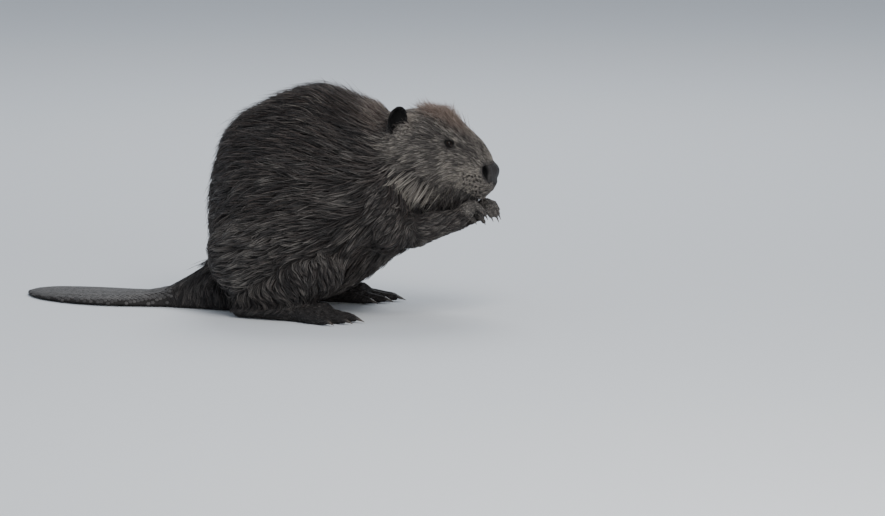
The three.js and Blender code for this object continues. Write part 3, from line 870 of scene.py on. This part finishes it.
leather, given, gives = group_with(
    "Leather grain",
    [
        ("NodeSocketFloat", "Scale", 900.0),
        ("NodeSocketColor", "Base", colour(0.016, 0.0145, 0.014)),
        ("NodeSocketColor", "Worn", colour(0.046, 0.041, 0.039)),
    ],
    [("NodeSocketColor", "Colour"), ("NodeSocketFloat", "Height"), ("NodeSocketFloat", "Roughness")],
)
place = add(leather, "ShaderNodeTexCoord").outputs["Object"]
pebbles = add(leather, "ShaderNodeTexVoronoi", {"feature": "F1"}, Vector=place, Scale=given["Scale"])
clouds = add(leather, "ShaderNodeTexNoise", Vector=place, Scale=120.0, Detail=4.0)
patchy = maths(leather, "MULTIPLY", clouds.outputs[0], pebbles.outputs[0])
feed(
    leather, gives,
    Colour=blend_colours(leather, patchy, given["Base"], given["Worn"]),
    Height=maths(leather, "SUBTRACT", 1.0, pebbles.outputs[0]),
    Roughness=between(leather, clouds.outputs[0], 0.46, 0.70),
)
print("leather grain ready")

# %% Colour the skin
hide, tree, shader = new_material("hide")
# At 0.35 along the felt takes the dark root colour, which carries the painted shade deep in the coat.
felt = add(tree, "ShaderNodeGroup", {"node_tree": fur_colour}, Along=0.35)
feed(tree, felt, Tone=mask(tree, "tone"), Rust=mask(tree, "rust"))
grain = add(tree, "ShaderNodeGroup", {"node_tree": leather})
covered = mask(tree, "cover")
under_coat = blend_colours(tree, covered, grain.outputs["Colour"], felt.outputs["Colour"])
bump = add(tree, "ShaderNodeBump", Height=grain.outputs["Height"], Distance=0.0005, Strength=0.8)
# The darkening mask multiplies the colour: painted shade in hollows and creases, and dark skin.
feed(
    tree, shader,
    Base_Color=blend_colours(tree, 1.0, under_coat, mask(tree, "shade"), "MULTIPLY"),
    Roughness=add(tree, "ShaderNodeMix", i0=covered, i2=grain.outputs["Roughness"], i3=0.8).outputs[0],
    Normal=bump.outputs[0],
    Coat_Weight=mask(tree, "wet"),
    Coat_Roughness=0.32,
    Specular_IOR_Level=0.14,
)
keep_masks(skin, tone=tone, rust=rust, cover=np.clip(cover * 2, 0, 1), shade=shade, wet=wet)
dress(skin, hide)
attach(skin, "root")
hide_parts(*FLESH)
print("skin dressed")

# %% [markdown]
# ## Growing the coat
# Hair is made as thin three-sided tufts, each a closed solid that tapers to a point. A tuft starts in
# the skin, follows the flow over the surface in a few steps, rises to the coat's depth, and leans
# towards a leader tuft near it, which makes locks. Everything is worked out for all tufts at once as
# arrays, because a loop over ninety thousand tufts would be slow.

# %% Choose where tufts grow
rng = np.random.default_rng(7)
triangles = np.empty(len(skin.data.polygons) * 3, np.int32)
skin.data.polygons.foreach_get("vertices", triangles)
triangles = triangles.reshape(-1, 3)
corners = points[triangles]
cross = np.cross(corners[:, 1] - corners[:, 0], corners[:, 2] - corners[:, 0])
area = np.linalg.norm(cross, axis=1) / 2 / MM**2
order = np.argsort(np.floor(corners[:, 0, 0] / 0.004) * 1e4 + np.floor(corners[:, 0, 2] / 0.004) * 10)
TUFTS = 84000
STEPS = 3
t = np.linspace(0, 1, STEPS + 1)


def per_face(values):
    return values[triangles].mean(axis=1)


class Roots:
    """Random places on the skin, this many in all, shared out among its triangles by need."""

    def __init__(self, need, total):
        marks = np.floor(np.cumsum((need / need.sum() * total)[order]) + rng.random())
        self.face = np.repeat(order, np.diff(np.concatenate([[0], marks])).astype(int))
        a, b = rng.random((2, len(self.face)))
        flip = a + b > 1
        a[flip], b[flip] = 1 - a[flip], 1 - b[flip]
        self.weights = np.stack([1 - a - b, a, b], 1)
        self.place = self.read(points)
        self.normal = unit(self.read(smooth_normal))
        self.count = len(self.face)

    def read(self, values):
        """These values of the skin's points, read at the roots."""
        weights = self.weights.reshape(self.weights.shape + (1,) * (values.ndim - 1))
        return (values[triangles[self.face]] * weights).sum(1)


face_length, face_width, face_cover = per_face(tuft_length), per_face(tuft_width), per_face(cover)
need = area * face_cover / (face_length * face_width) * (face_cover > 0.03)
roots = Roots(need, TUFTS)
print(roots.count, "tufts on", round(area.sum() / 100), "square cm of skin")

# %% Lay each tuft along the flow
skin_tree = BVHTree.FromPolygons(points.tolist(), triangles.tolist())
face_flow, face_normal = unit(per_face(flow)), unit(per_face(smooth_normal))


def on_skin(p):
    """The nearest points of the skin, and the triangles they are on."""
    found = [skin_tree.find_nearest(q) for q in p.tolist()]
    return np.array([f[0] for f in found]), np.array([f[2] for f in found])


def wander(p, scale, seed):
    return np.array([noise.noise(Vector(q) / scale + Vector((seed, 0, 0))) for q in p.tolist()])


def laid_along(roots, length, sway):
    """A line of a few points from each root, following the flow turned by the sway, on the skin."""
    line, face = [roots.place], roots.face
    for _ in range(STEPS):
        f, n = face_flow[face], face_normal[face]
        way = f * np.cos(sway)[:, None] + np.cross(n, f) * np.sin(sway)[:, None]
        spot, face = on_skin(line[-1] + way * (length / STEPS)[:, None])
        line.append(spot)
    return np.stack(line, 1)


def risen(line, normal, lift):
    return line + normal[:, None, :] * lift[:, :, None]


own_length = roots.read(tuft_length) * MM * rng.uniform(0.7, 1.25, roots.count)
own_width = roots.read(tuft_width) * MM * rng.uniform(0.7, 1.3, roots.count)
own_depth = np.maximum(roots.read(depth_now), 0.35) * MM
root_on_head = np.clip(roots.read(head_share), 0, 1)
sway = 0.50 * wander(roots.place, 0.022, 3) + 0.40 * wander(roots.place, 0.008, 11)
sway = sway * (1 - 0.55 * root_on_head)
line = laid_along(roots, own_length, sway + rng.normal(0, 0.09, roots.count))
print("tufts laid over the skin")

# %% Lean tufts together into locks


def locked(roots, line, tufts_in_lock, pull, reach):
    """Draws each tuft towards the nearest leader tuft, more at the tip; also returns each tuft's leader."""
    leaders = rng.choice(roots.count, roots.count // tufts_in_lock, replace=False)
    leader = leaders[nearest_in(tree_of(roots.place[leaders]), roots.place)[0]]
    away = np.linalg.norm(roots.place - roots.place[leader], axis=1)
    gather = (pull * (away < reach))[:, None, None] * t[None, :, None] ** 1.2
    return line + (line[leader] - line) * gather, leader


line, leader = locked(roots, line, 9, 0.74 - 0.34 * root_on_head, 6.5 * MM)
print("locks formed round", len(set(leader.tolist())), "leaders")

# %% Raise the tufts and give each its tone
ROOT_DEPTH = 0.3 * MM
rise = 1 - (1 - t) ** 2.0
layer = rng.choice([0.5, 0.8, 1.0], roots.count, p=[0.25, 0.35, 0.4]) * rng.uniform(0.85, 1.1, roots.count)
lock_height = rng.uniform(0.86, 1.12, roots.count)[leader]
stand = roots.read(forehead) * 1.0 * MM
lift = own_depth[:, None] * (layer * lock_height)[:, None] * rise[None, :] + stand[:, None] * t[None, :] ** 2
lift[:, 0] = -ROOT_DEPTH
line = risen(line, roots.normal, lift)
lock_tone = rng.normal(0, 0.125, roots.count)[leader] + 0.12 * wander(roots.place, 0.035, 29)
# Painted shade: tufts of the lower layers are made 0.22 darker, as shade under the tufts above them.
own_tone = roots.read(tone) + lock_tone + rng.normal(0, 0.13, roots.count) - 0.22 * (layer < 0.7)
own_tone = own_tone + 0.26 * (rng.random(roots.count) < 0.12) - 0.02
own_tone = np.minimum(own_tone, roots.read(tone) + 0.30)
dot = step(1.9, 1.1, nearest_in(spot_tree, line[:, 1])[1] / MM)
own_tone = own_tone - 0.8 * dot
own_width = own_width * (1 - 0.4 * dot)
own_rust = roots.read(rust) + rng.normal(0, 0.05, roots.count)
print("tufts darkened round the whiskers:", int((dot > 0.5).sum()))

# %% [markdown]
# ## Hairs that stand out
# A few sorts of hair break the smooth coat: long sparse guard hairs and stiff bristles over the back,
# reddish tips that stand up on the forehead and nape, painted pale as if lit from behind, pale clumped
# locks that hang under the cheek, a beard under the chin, and a light fringe before the ear. Each sort
# is a row of a table: how many, where, how long and wide, how far the tip stands out, its tone and
# rust, and how many share a lock.
# The hanging ones leave the skin and fall freely.

# %% Choose where they grow, and how they hang
upward = smooth_normal[:, 2]
guard_place = share("trunk") * step(-0.3, 0.6, upward) + 0.8 * share("neck") + 0.35 * share("thigh")
fringe_place = hill(ahead, 8, 5) * hill(up, 6, 12) * step(22, 30, out) * head_share
ruff_place = hill(ahead, 43, 18) * hill(up, -49, 7) * step(16, 26, out) * step(50, 42, out)
ruff_place = ruff_place * (head_share + 0.5 * share("neck"))
chin_place = hill(ahead, 96, 20) * step(-29, -35, up) * head_share
bristle_place = share("trunk") * step(0.35, 0.8, upward) * step(0.45, 0.75, z * MM / height)
bristle_place = bristle_place + share("neck") * step(0, 0.6, upward)


def hung(roots, length, ways):
    """A line from each root straight along its own way, pushed out where it would pass through the skin."""
    line = [roots.place + roots.normal * 0.8 * MM]
    for _ in range(STEPS):
        reached = line[-1] + ways * (length / STEPS)[:, None]
        spot, face = on_skin(reached)
        outward = face_normal[face]
        short = 1.6 * MM - ((reached - spot) * outward).sum(1)
        line.append(reached + outward * np.maximum(short, 0)[:, None])
    return np.stack(line, 1)


print("bristles may grow on", int((bristle_place > 0.3).sum()), "points")

# %% Add the hairs that stand out
SORTS = {  # how many, where, length, width and stand of the tip in mm, tone, rust, how many in a lock
    "guard hairs": (3000, guard_place**2, 38, 0.60, 5.5, 0.44, 0.10, 1),
    "bristles": (170, bristle_place**2, 40, 0.62, 13.0, 0.30, 0.10, 1),
    # The forehead and nape tips are reddish of their own, and their pale tone is painted backlight.
    "forehead tips": (1300, forehead**2, 15, 0.52, 9.5, 0.86, 0.60, 3),
    "forehead spikes": (170, forehead**2, 17, 0.60, 15.0, 0.90, 0.50, 5),
    "nape tips": (600, nape**2, 18, 0.60, 4.5, 0.62, 0.25, 2),
    "ruff locks": (150, ruff_place, 31, 0.92, 3.0, 1.02, 0.03, 3),
    "chin beard": (1500, chin_place, 11, 0.58, 4.0, 0.50, 0.03, 3),
    "ear fringe": (170, fringe_place**2, 6.5, 0.50, 2.0, 0.95, 0.12, 2),
}
lines, widths, normals, places = [line], [own_width], [roots.normal], [roots.place]
tones, rusts = [own_tone], [own_rust]
for title, (number, where, long_mm, wide_mm, stand_mm, its_tone, its_rust, in_lock) in SORTS.items():
    some = Roots(area * np.maximum(per_face(where), 0), number)
    its_length = long_mm * MM * rng.uniform(0.65, 1.2, some.count)
    its_sway = 0.4 * wander(some.place, 0.012, 17) + rng.normal(0, 0.14, some.count)
    hangs = title in ("ruff locks", "chin beard")
    if hangs:
        sideways = np.sign(some.place[:, 1] - head_place[1])
        slant = -0.62 - 0.80 * step(56, 30, in_head(some.place)[:, 0])
        fall = np.stack([slant + its_sway, 0.08 * sideways + 0.1 * its_sway, np.full(some.count, -1.0)], 1)
        its_line = hung(some, its_length, unit(fall))
    else:
        its_line = laid_along(some, its_length, its_sway)
    its_line, its_leader = locked(some, its_line, in_lock, 0.9, 9 * MM)
    full = some.read(depth_now) * MM * rng.uniform(0.9, 1.15, some.count) * (0.3 if hangs else 1.0)
    tip_stand = stand_mm * MM * rng.uniform(0.1, 1.0, some.count) ** 1.5
    its_lift = full[:, None] * rise[None, :] + tip_stand[:, None] * t[None, :] ** 1.6
    its_lift[:, 0] = -ROOT_DEPTH
    lines.append(risen(its_line, some.normal, its_lift))
    widths.append(wide_mm * MM * rng.uniform(0.6, 1.3, some.count))
    normals.append(some.normal)
    places.append(some.place)
    tones.append(its_tone + rng.normal(0, 0.06, some.count) + rng.normal(0, 0.15, some.count)[its_leader])
    rusts.append(its_rust + rng.normal(0, 0.08, some.count))
    print(title, some.count)
line, own_width, normal, root_place = (np.concatenate(v) for v in (lines, widths, normals, places))
own_tone, own_rust = np.concatenate(tones), np.concatenate(rusts)
count = len(line)

# %% [markdown]
# ## From lines to solid tufts
# Each line becomes a strip with a triangular section: three corners at each ring, one shared tip and
# one root face. The width swells a little after the root, then tapers. Tufts are dealt out in turn to
# several objects that all span the whole body, which keeps each object small enough to export.

# %% Build the tufts
TUFT_SHAPE = np.array((0.75, 1.0, 0.72))


def solid_hairs(line, up, width, shape, thick=0.42):
    """The points of one closed three-sided hair along each line: its rings, then its tip."""
    way = unit(np.gradient(line, axis=1))
    side = unit(np.cross(way, up[:, None, :]))
    over = unit(np.cross(side, way))
    wide = (width[:, None] * shape[None, :])[:, :, None]
    base, side, over = line[:, :-1], side[:, :-1], over[:, :-1]
    ring = np.stack([base - side * wide / 2, base + side * wide / 2, base + over * wide * thick], 2)
    return np.concatenate([ring.reshape(len(line), -1, 3), line[:, -1:]], 1)


def tuft_faces(rings):
    """Triangles of one tuft with this many rings, as indices into its points."""
    faces = [(0, 2, 1)]
    for r in range(rings - 1):
        for c in range(3):
            p, q = 3 * r + c, 3 * r + (c + 1) % 3
            faces += [(p, q, q + 3), (p, q + 3, p + 3)]
    last = 3 * (rings - 1)
    faces += [(last + c, last + (c + 1) % 3, 3 * rings) for c in range(3)]
    return np.array(faces)


def mesh_of(name, co, faces):
    mesh = bpy.data.meshes.new(name)
    mesh.vertices.add(len(co))
    mesh.vertices.foreach_set("co", co.astype(np.float32).ravel())
    mesh.loops.add(faces.size)
    mesh.loops.foreach_set("vertex_index", faces.astype(np.int32).ravel())
    mesh.polygons.add(len(faces))
    mesh.polygons.foreach_set("loop_start", np.arange(0, faces.size, 3, dtype=np.int32))
    mesh.update(calc_edges=True)
    return mesh


tuft_points = solid_hairs(line, normal, own_width, TUFT_SHAPE)
LOWEST_HAIR = 0.3 * MM
tuft_points[:, :, 2] = np.maximum(tuft_points[:, :, 2], LOWEST_HAIR)
faces_of_one = tuft_faces(STEPS)
along = np.concatenate([np.repeat(t[:-1], 3), [1.0]])
TRIANGLES_IN_PIECE = 190000
PIECES = math.ceil(count * len(faces_of_one) / TRIANGLES_IN_PIECE)
print("coat of", count * len(faces_of_one), "triangles in", PIECES, "pieces")

# %% [markdown]
# ## Patches for the tufts
# The colours of a tuft must be read at the place of its root, so each tuft gets a small patch on an
# unwrap of the skin's own shape. A light copy of the skin is unwrapped, and each root looks up its
# place there.

# %% Unwrap the skin for the coat's patches
PATCH, UNWRAP_TRIANGLES = 0.003, 9000
light = new_object("unwrap", skin.data.copy())
reshape(light, ("DECIMATE", {"ratio": UNWRAP_TRIANGLES / len(light.data.polygons)}))
bpy.context.view_layer.objects.active = light
light.select_set(True)
bpy.ops.object.mode_set(mode="EDIT")
bpy.ops.mesh.select_all(action="SELECT")
bpy.ops.uv.smart_project(angle_limit=math.radians(66), island_margin=0.004)
bpy.ops.object.mode_set(mode="OBJECT")
light_points = points_of(light)
light_faces = np.array([p.vertices[:] for p in light.data.polygons])
flat = np.empty(len(light.data.loops) * 2, np.float32)
light.data.uv_layers.active.data.foreach_get("uv", flat)
flat = flat.reshape(-1, 3, 2)
light_tree = BVHTree.FromPolygons(light_points.tolist(), light_faces.tolist())
bpy.data.objects.remove(light)


def place_on_unwrap(roots):
    """Where these places of the skin lie on its unwrap."""
    found = [light_tree.find_nearest(p) for p in roots.tolist()]
    spot, hit = np.array([f[0] for f in found]), np.array([f[2] for f in found])
    a, b, c = (light_points[light_faces[hit, i]] for i in range(3))
    n = np.cross(b - a, c - a)
    size = (n * n).sum(1)
    wb = (np.cross(spot - a, c - a) * n).sum(1) / size
    wc = (np.cross(b - a, spot - a) * n).sum(1) / size
    ua, ub, uc = flat[hit, 0], flat[hit, 1], flat[hit, 2]
    return ua * (1 - wb - wc)[:, None] + ub * wb[:, None] + uc * wc[:, None]


patch = place_on_unwrap(root_place)
print("patches from", np.round(patch.min(0), 3), "to", np.round(patch.max(0), 3))

# %% Make the coat's pieces


def hair_piece(name, hair_points, faces_of_hair, along, patches, material, **masks):
    """One object of many hairs, with a small patch for each on the unwrap of the skin."""
    number, per = hair_points.shape[:2]
    faces = (faces_of_hair[None] + (np.arange(number) * per)[:, None, None]).reshape(-1, 3)
    piece = new_object(name, mesh_of(name, hair_points.reshape(-1, 3), faces))
    keep_masks(piece, along=np.tile(along, number), **{k: np.repeat(v, per) for k, v in masks.items()})
    across = np.concatenate([np.tile((-0.5, 0.0, 0.5), (per - 1) // 3), [0.0]])
    corner = np.stack([across, along - 0.5], 1) * PATCH
    layer = piece.data.uv_layers.new(name="OFBake")
    uv = (patches[:, None, :] + corner[None]).reshape(-1, 2)[faces.ravel()]
    layer.data.foreach_set("uv", uv.astype(np.float32).ravel())
    dress(piece, material)
    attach(piece, "root")
    return piece


for number in range(PIECES):
    mine = np.arange(number, count, PIECES)
    hair_piece(
        f"coat_{number + 1}", tuft_points[mine], faces_of_one, along, patch[mine], fur,
        tone=own_tone[mine], rust=own_rust[mine],
    )
print(PIECES, "coat pieces made")

# %% [markdown]
# ## Eyes
# The eyeball is a dark brown ball that bulges at the front, where the cornea lies over a black pupil.
# The iris is so dark that the wet highlight is what makes it an eye, so the material gets a thin
# glossy coat. A mask that holds the angle from the eye's own axis places the pupil and the iris.

# %% Colour the eye
eye_look, tree, shader = new_material("wet eye")
rings = add(tree, "ShaderNodeValToRGB", Fac=mask(tree, "gaze"))
ramp = rings.color_ramp
ramp.elements[0].position, ramp.elements[0].color = 0.20, colour(0.0015, 0.0012, 0.001)
ramp.elements[1].position, ramp.elements[1].color = 0.80, colour(0.006, 0.0045, 0.004)
ramp.elements.new(0.26).color = colour(0.016, 0.009, 0.0055)
ramp.elements.new(0.56).color = colour(0.009, 0.0055, 0.004)
threads = add(tree, "ShaderNodeTexNoise", Scale=2600.0, Detail=3.0)
iris = blend_colours(tree, 0.5, rings.outputs[0], threads.outputs[0], "MULTIPLY")
feed(tree, shader, Base_Color=iris, Roughness=0.3, Specular_IOR_Level=0.05)
feed(tree, shader, Coat_Weight=0.34, Coat_IOR=1.38, Coat_Roughness=0.04)
print("eye colour ready")

# %% Make the eyeballs
CORNEA_BULGE = 0.055
for side in SIDES:
    ball, axes = eye_frame(side)
    centre_of_ball, outward = from_head(ball), HEAD_AXES @ axes[2]
    bm = bmesh.new()
    bmesh.ops.create_icosphere(bm, subdivisions=5, radius=EYE_RADIUS * MM)
    gaze = np.array([math.degrees(Vector(outward).angle(v.co)) / 90 for v in bm.verts])
    for vertex, angle in zip(bm.verts, gaze):
        vertex.co *= 1 + CORNEA_BULGE * float(step(0.52, 0.0, angle))
        vertex.co += Vector(centre_of_ball)
    ball_mesh = bpy.data.meshes.new(f"eyeball_{side}")
    bm.to_mesh(ball_mesh)
    bm.free()
    eyeball = new_object(f"eyeball_{side}", ball_mesh)
    keep_masks(eyeball, gaze=gaze)
    dress(eyeball, eye_look)
    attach(eyeball, "root")
    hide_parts(f"eye_{side}")
print("two eyeballs of", EYE_RADIUS, "mm radius")

# %% [markdown]
# ## Claws
# Claws are horn: dark, satin, a little paler at the worn tip, with fine growth lines across. The claw
# solids have the right size and curve but flat facets, so copies are remeshed finely and smoothed
# into one piece. Each claw's base is then drawn back into its toe, because the skin there lies a
# little below the solid.

# %% Make the claws
CLAW_SWELLING, CLAW_VOXEL, INTO_TOE = 0.05 * MM, 0.34 * MM, 3.6 * MM
whole, claw_of_face = joined_solids(CLAWS, CLAW_SWELLING)
claw_mesh = bpy.data.meshes.new("claws")
claw_tree = BVHTree.FromBMesh(whole)
whole.to_mesh(claw_mesh)
whole.free()
claws = new_object("claws", claw_mesh)
reshape(claws, ("REMESH", {"mode": "VOXEL", "voxel_size": CLAW_VOXEL}))
reshape(claws, ("SMOOTH", {"factor": 0.5, "iterations": 5}))
reshape(claws, ("TRIANGULATE", {}), ("DECIMATE", {"ratio": 0.35}))
claw_points = points_of(claws)
own_claw = claw_of_face[[claw_tree.find_nearest(p)[2] for p in claw_points.tolist()]]
to_point = np.zeros(len(claw_points))
for number, node in enumerate(CLAWS):
    paw_name = "_".join(node.split("_")[1:3])
    mine = own_claw == number
    away = np.linalg.norm(claw_points[mine] - middle(paw_name), axis=1)
    to_point[mine] = (away - away.min()) / max(away.max() - away.min(), 1e-6)
    tip = claw_points[mine][to_point[mine] > 0.75].mean(0)
    base = claw_points[mine][to_point[mine] < 0.35].mean(0)
    claw_points[mine] += unit(base - tip) * (INTO_TOE * (1 - to_point[mine]))[:, None]
move_points(claws, claw_points)
keep_masks(claws, to_point=to_point)
print("claws:", len(claws.data.polygons), "triangles")

# %% Colour the claws
horn, tree, shader = new_material("horn")
growth = add(tree, "ShaderNodeTexNoise", Scale=700.0, Detail=4.0)
worn = add(tree, "ShaderNodeMapRange", Value=mask(tree, "to_point"), From_Min=0.3, From_Max=1.0).outputs[0]
horn_colour = blend_colours(tree, worn, colour(0.020, 0.016, 0.014), colour(0.11, 0.088, 0.070))
lines_across = maths(tree, "SINE", maths(tree, "MULTIPLY", mask(tree, "to_point"), 60.0))
bump = add(tree, "ShaderNodeBump", Height=lines_across, Distance=0.00012, Strength=0.4)
feed(
    tree, shader,
    Base_Color=blend_colours(tree, 0.35, horn_colour, growth.outputs[0], "MULTIPLY"),
    Roughness=between(tree, growth.outputs[0], 0.28, 0.5),
    Normal=bump.outputs[0],
)
dress(claws, horn)
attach(claws, "root")
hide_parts(*CLAWS)
print("claws coloured")

# %% [markdown]
# ## Scales of the tail
# The paddle is covered by small leathery scales in offset rows that overlap like tiles towards the
# tip. A map of the tail's middle line gives each row its place and heading, and a ray dropped from
# above lays each scale on the skin. Every scale is a low six-sided plate, higher at its rear edge.
# The underside, which lies on the floor, stays bare.

# %% Find the tail's middle line
STATIONS = 26
on_tail = points[share("tail") > 0.6]
stations = np.linspace(on_tail[:, 0].min() + 3 * MM, rump_x, STATIONS)
slices = [on_tail[np.abs(on_tail[:, 0] - x0) < 5 * MM, 1] for x0 in stations]
slice_middles = np.array([(y0.min() + y0.max()) / 2 for y0 in slices])
tail_middle = blurred(slice_middles, np.stack([np.arange(STATIONS - 1), np.arange(1, STATIONS)], 1), 6)
print("the tail's middle strays by", round(float(np.ptp(tail_middle)) / MM, 1), "mm")

# %% Lay the scales in rows
SCALE_LONG, SCALE_WIDE, SCALES_ASIDE = 4.3, 3.5, 18
ROW_STEP = 0.5 * 1.72
scale_rng = np.random.default_rng(33)
face_tail_hair = per_face(np.where(share("tail") > 0.5, tail_root, 1.0))
centres, headings, uprights, growth_of = [], [], [], []
x0, row = rump_x - 8 * MM, 0
while x0 > stations[0]:
    before, after = np.interp((x0 - 5 * MM, x0 + 5 * MM), stations, tail_middle)
    heading = unit(np.array((-1.0, -(after - before) / (10 * MM), 0)))
    across_tail = np.array((-heading[1], heading[0], 0))
    for k in range(-SCALES_ASIDE, SCALES_ASIDE + 1):
        aside = (k + 0.5 * (row % 2)) * SCALE_WIDE + scale_rng.normal(0, 0.15)
        start = np.array((x0, np.interp(x0, stations, tail_middle), 0.2)) + across_tail * aside * MM
        start[:2] += scale_rng.normal(0, 0.15, 2) * MM
        spot, upright, face, _ = skin_tree.ray_cast(start.tolist(), (0, 0, -1))
        if spot is not None and upright[2] > 0.2 and face_tail_hair[face] < 0.35 and spot[2] < 0.1:
            centres.append(spot[:])
            headings.append(heading)
            uprights.append(face_normal[face])
            smaller = 1 - 0.25 * step(0.72, 1.0, abs(k) / SCALES_ASIDE)
            growth_of.append(scale_rng.uniform(0.86, 1.06) * smaller)
    x0 += heading[0] * SCALE_LONG * ROW_STEP * MM
    row += 1
print(len(centres), "scales in", row, "rows")

# %% Build the scales
centres, uprights, growth_of = np.array(centres), unit(np.array(uprights)), np.array(growth_of)
headings = np.array(headings)
headings = unit(headings - uprights * (headings * uprights).sum(1, keepdims=True))
sidewise = np.cross(uprights, headings)
angle = np.arange(6) * math.pi / 3
reach_long = np.cos(angle) * 0.5 * SCALE_LONG * 1.12
reach_wide = np.sin(angle) * 0.5 * SCALE_WIDE * 1.16


def scale_ring(size, heights):
    """One ring of six corners for every scale, this large and at these heights in mm."""
    along_part = headings[:, None] * (reach_long * size)[None, :, None]
    across_part = sidewise[:, None] * (reach_wide * size)[None, :, None]
    over_part = uprights[:, None] * (np.zeros(6) + heights)[None, :, None]
    return centres[:, None] + ((along_part + across_part) * growth_of[:, None, None] + over_part) * MM


rear = (np.cos(angle) + 1) / 2
sunk, brim = scale_ring(1.0, -0.5), scale_ring(1.0, 0.05 + 0.22 * rear)
crown, peak = scale_ring(0.74, 0.28 + 0.20 * rear), scale_ring(0.0, 0.44)[:, :1]
plates = np.concatenate([sunk, brim, crown, peak], 1)
plates[:, :, 2] = np.maximum(plates[:, :, 2], SOLE_HEIGHT)
plate_faces = [(0, k + 1, k) for k in range(1, 5)]
for ring_start in (0, 6):
    for k in range(6):
        a, b = ring_start + k, ring_start + (k + 1) % 6
        plate_faces += [(a, b, b + 6), (a, b + 6, a + 6)]
plate_faces += [(12 + k, 12 + (k + 1) % 6, 18) for k in range(6)]
plate_faces = np.array(plate_faces)
per = plates.shape[1]
tile_faces = (plate_faces[None] + (np.arange(len(plates)) * per)[:, None, None]).reshape(-1, 3)
scales = new_object("tail_scales", mesh_of("tail_scales", plates.reshape(-1, 3), tile_faces))
keep_masks(scales, tone=np.repeat(scale_rng.uniform(0, 1, len(plates)), per))
print("scales:", len(tile_faces), "triangles")

# %% Colour the scales
scale_look, tree, shader = new_material("tail leather")
grain = add(tree, "ShaderNodeGroup", {"node_tree": leather}, Scale=1500.0)
worn = blend_colours(tree, mask(tree, "tone"), colour(0.030, 0.027, 0.026), colour(0.085, 0.078, 0.073))
bump = add(tree, "ShaderNodeBump", Height=grain.outputs["Height"], Distance=0.0002, Strength=0.6)
feed(
    tree, shader,
    Base_Color=blend_colours(tree, 0.4, worn, grain.outputs["Colour"]),
    Roughness=grain.outputs["Roughness"],
    Normal=bump.outputs[0],
)
dress(scales, scale_look, smooth=False)
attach(scales, "root")
print("scales coloured")

# %% [markdown]
# ## Whiskers
# Each whisker is a long thin cone that bends back and down from its place on the pad or the brow.

# %% Grow the whiskers
whisker_root, _ = on_skin(spots)
whisker_way = unit(np.array(ways) + whisker_rng.normal(0, 0.12, (len(ways), 3))) @ HEAD_AXES.T
whisker_length = np.array(lengths) * MM
BENDS, WHISKER_WIDTH = 7, 0.55 * MM
u = np.linspace(0, 1, BENDS + 1)[None, :, None]
droop = np.array((-0.10, 0, -0.30)) * whisker_length[:, None] * 0.8
whisker_line = whisker_root[:, None] + whisker_way[:, None] * u * whisker_length[:, None, None]
whisker_line = whisker_line + droop[:, None] * u**2
whisker_line[:, 0] -= whisker_way * 0.6 * MM
whisker_up = unit(np.cross(whisker_way, (0.3, 0.1, 1.0)))
whisker_width = np.full(len(spots), WHISKER_WIDTH)
whisker_points = solid_hairs(
    whisker_line, whisker_up, whisker_width, np.linspace(1, 0.35, BENDS), thick=0.86
)
whisker_along = np.concatenate([np.repeat(np.linspace(0.4, 0.95, BENDS), 3), [1.0]])
hair_piece(
    "whiskers", whisker_points, tuft_faces(BENDS), whisker_along, place_on_unwrap(whisker_root), fur,
    tone=whisker_rng.uniform(0.25, 0.75, len(spots)), rust=np.zeros(len(spots)),
)
print(len(spots), "whiskers")

# %% [markdown]
# ## Floor and light
# The beaver sits on a plain pale floor. A large soft light from above and the camera's side models
# the forms, a weaker low one lights the face, a third one behind lights the coat's edge, and an even
# sky fills the shadows.

# %% Lay the floor
FLOOR = 40.0
floor_corners = np.array([(-FLOOR, -FLOOR, 0), (FLOOR, -FLOOR, 0), (FLOOR, FLOOR, 0), (-FLOOR, FLOOR, 0)])
floor = new_object("floor", mesh_of("floor", floor_corners, np.array([(0, 1, 2), (0, 2, 3)])))
paper, tree, shader = new_material("paper")
mottle = add(tree, "ShaderNodeTexNoise", Scale=3.0, Detail=3.0)
pale = blend_colours(tree, mottle.outputs[0], colour(0.66, 0.68, 0.70), colour(0.70, 0.72, 0.74))
feed(tree, shader, Base_Color=pale, Roughness=0.8)
dress(floor, paper)
print("floor laid")

# %% Light it
sky = bpy.data.worlds.new("sky")
sky.use_nodes = True
feed(sky.node_tree, sky.node_tree.nodes["Background"], Color=colour(0.80, 0.88, 1.0), Strength=0.54)
bpy.context.scene.world = sky


def soft_light(name, place, aim, size, power, tint):
    lamp = bpy.data.lights.new(name, "AREA")
    lamp.shape, lamp.size, lamp.energy, lamp.color = "DISK", size, power, tint
    obj = bpy.data.objects.new(name, lamp)
    obj.location = place
    obj.rotation_euler = (Vector(place) - Vector(aim)).to_track_quat("Z", "Y").to_euler()
    bpy.context.scene.collection.objects.link(obj)


centre = ((low + high) / 2).tolist()
soft_light("key", (0.9, -1.4, 1.9), centre, 1.4, 36, (1.0, 0.975, 0.94))
soft_light("fill", (1.5, -1.9, 0.35), centre, 1.6, 21, (1.0, 0.98, 0.96))
soft_light("rim", (-0.1, 1.7, 1.9), centre, 1.5, 28, (0.97, 0.985, 1.0))
print("lights set")
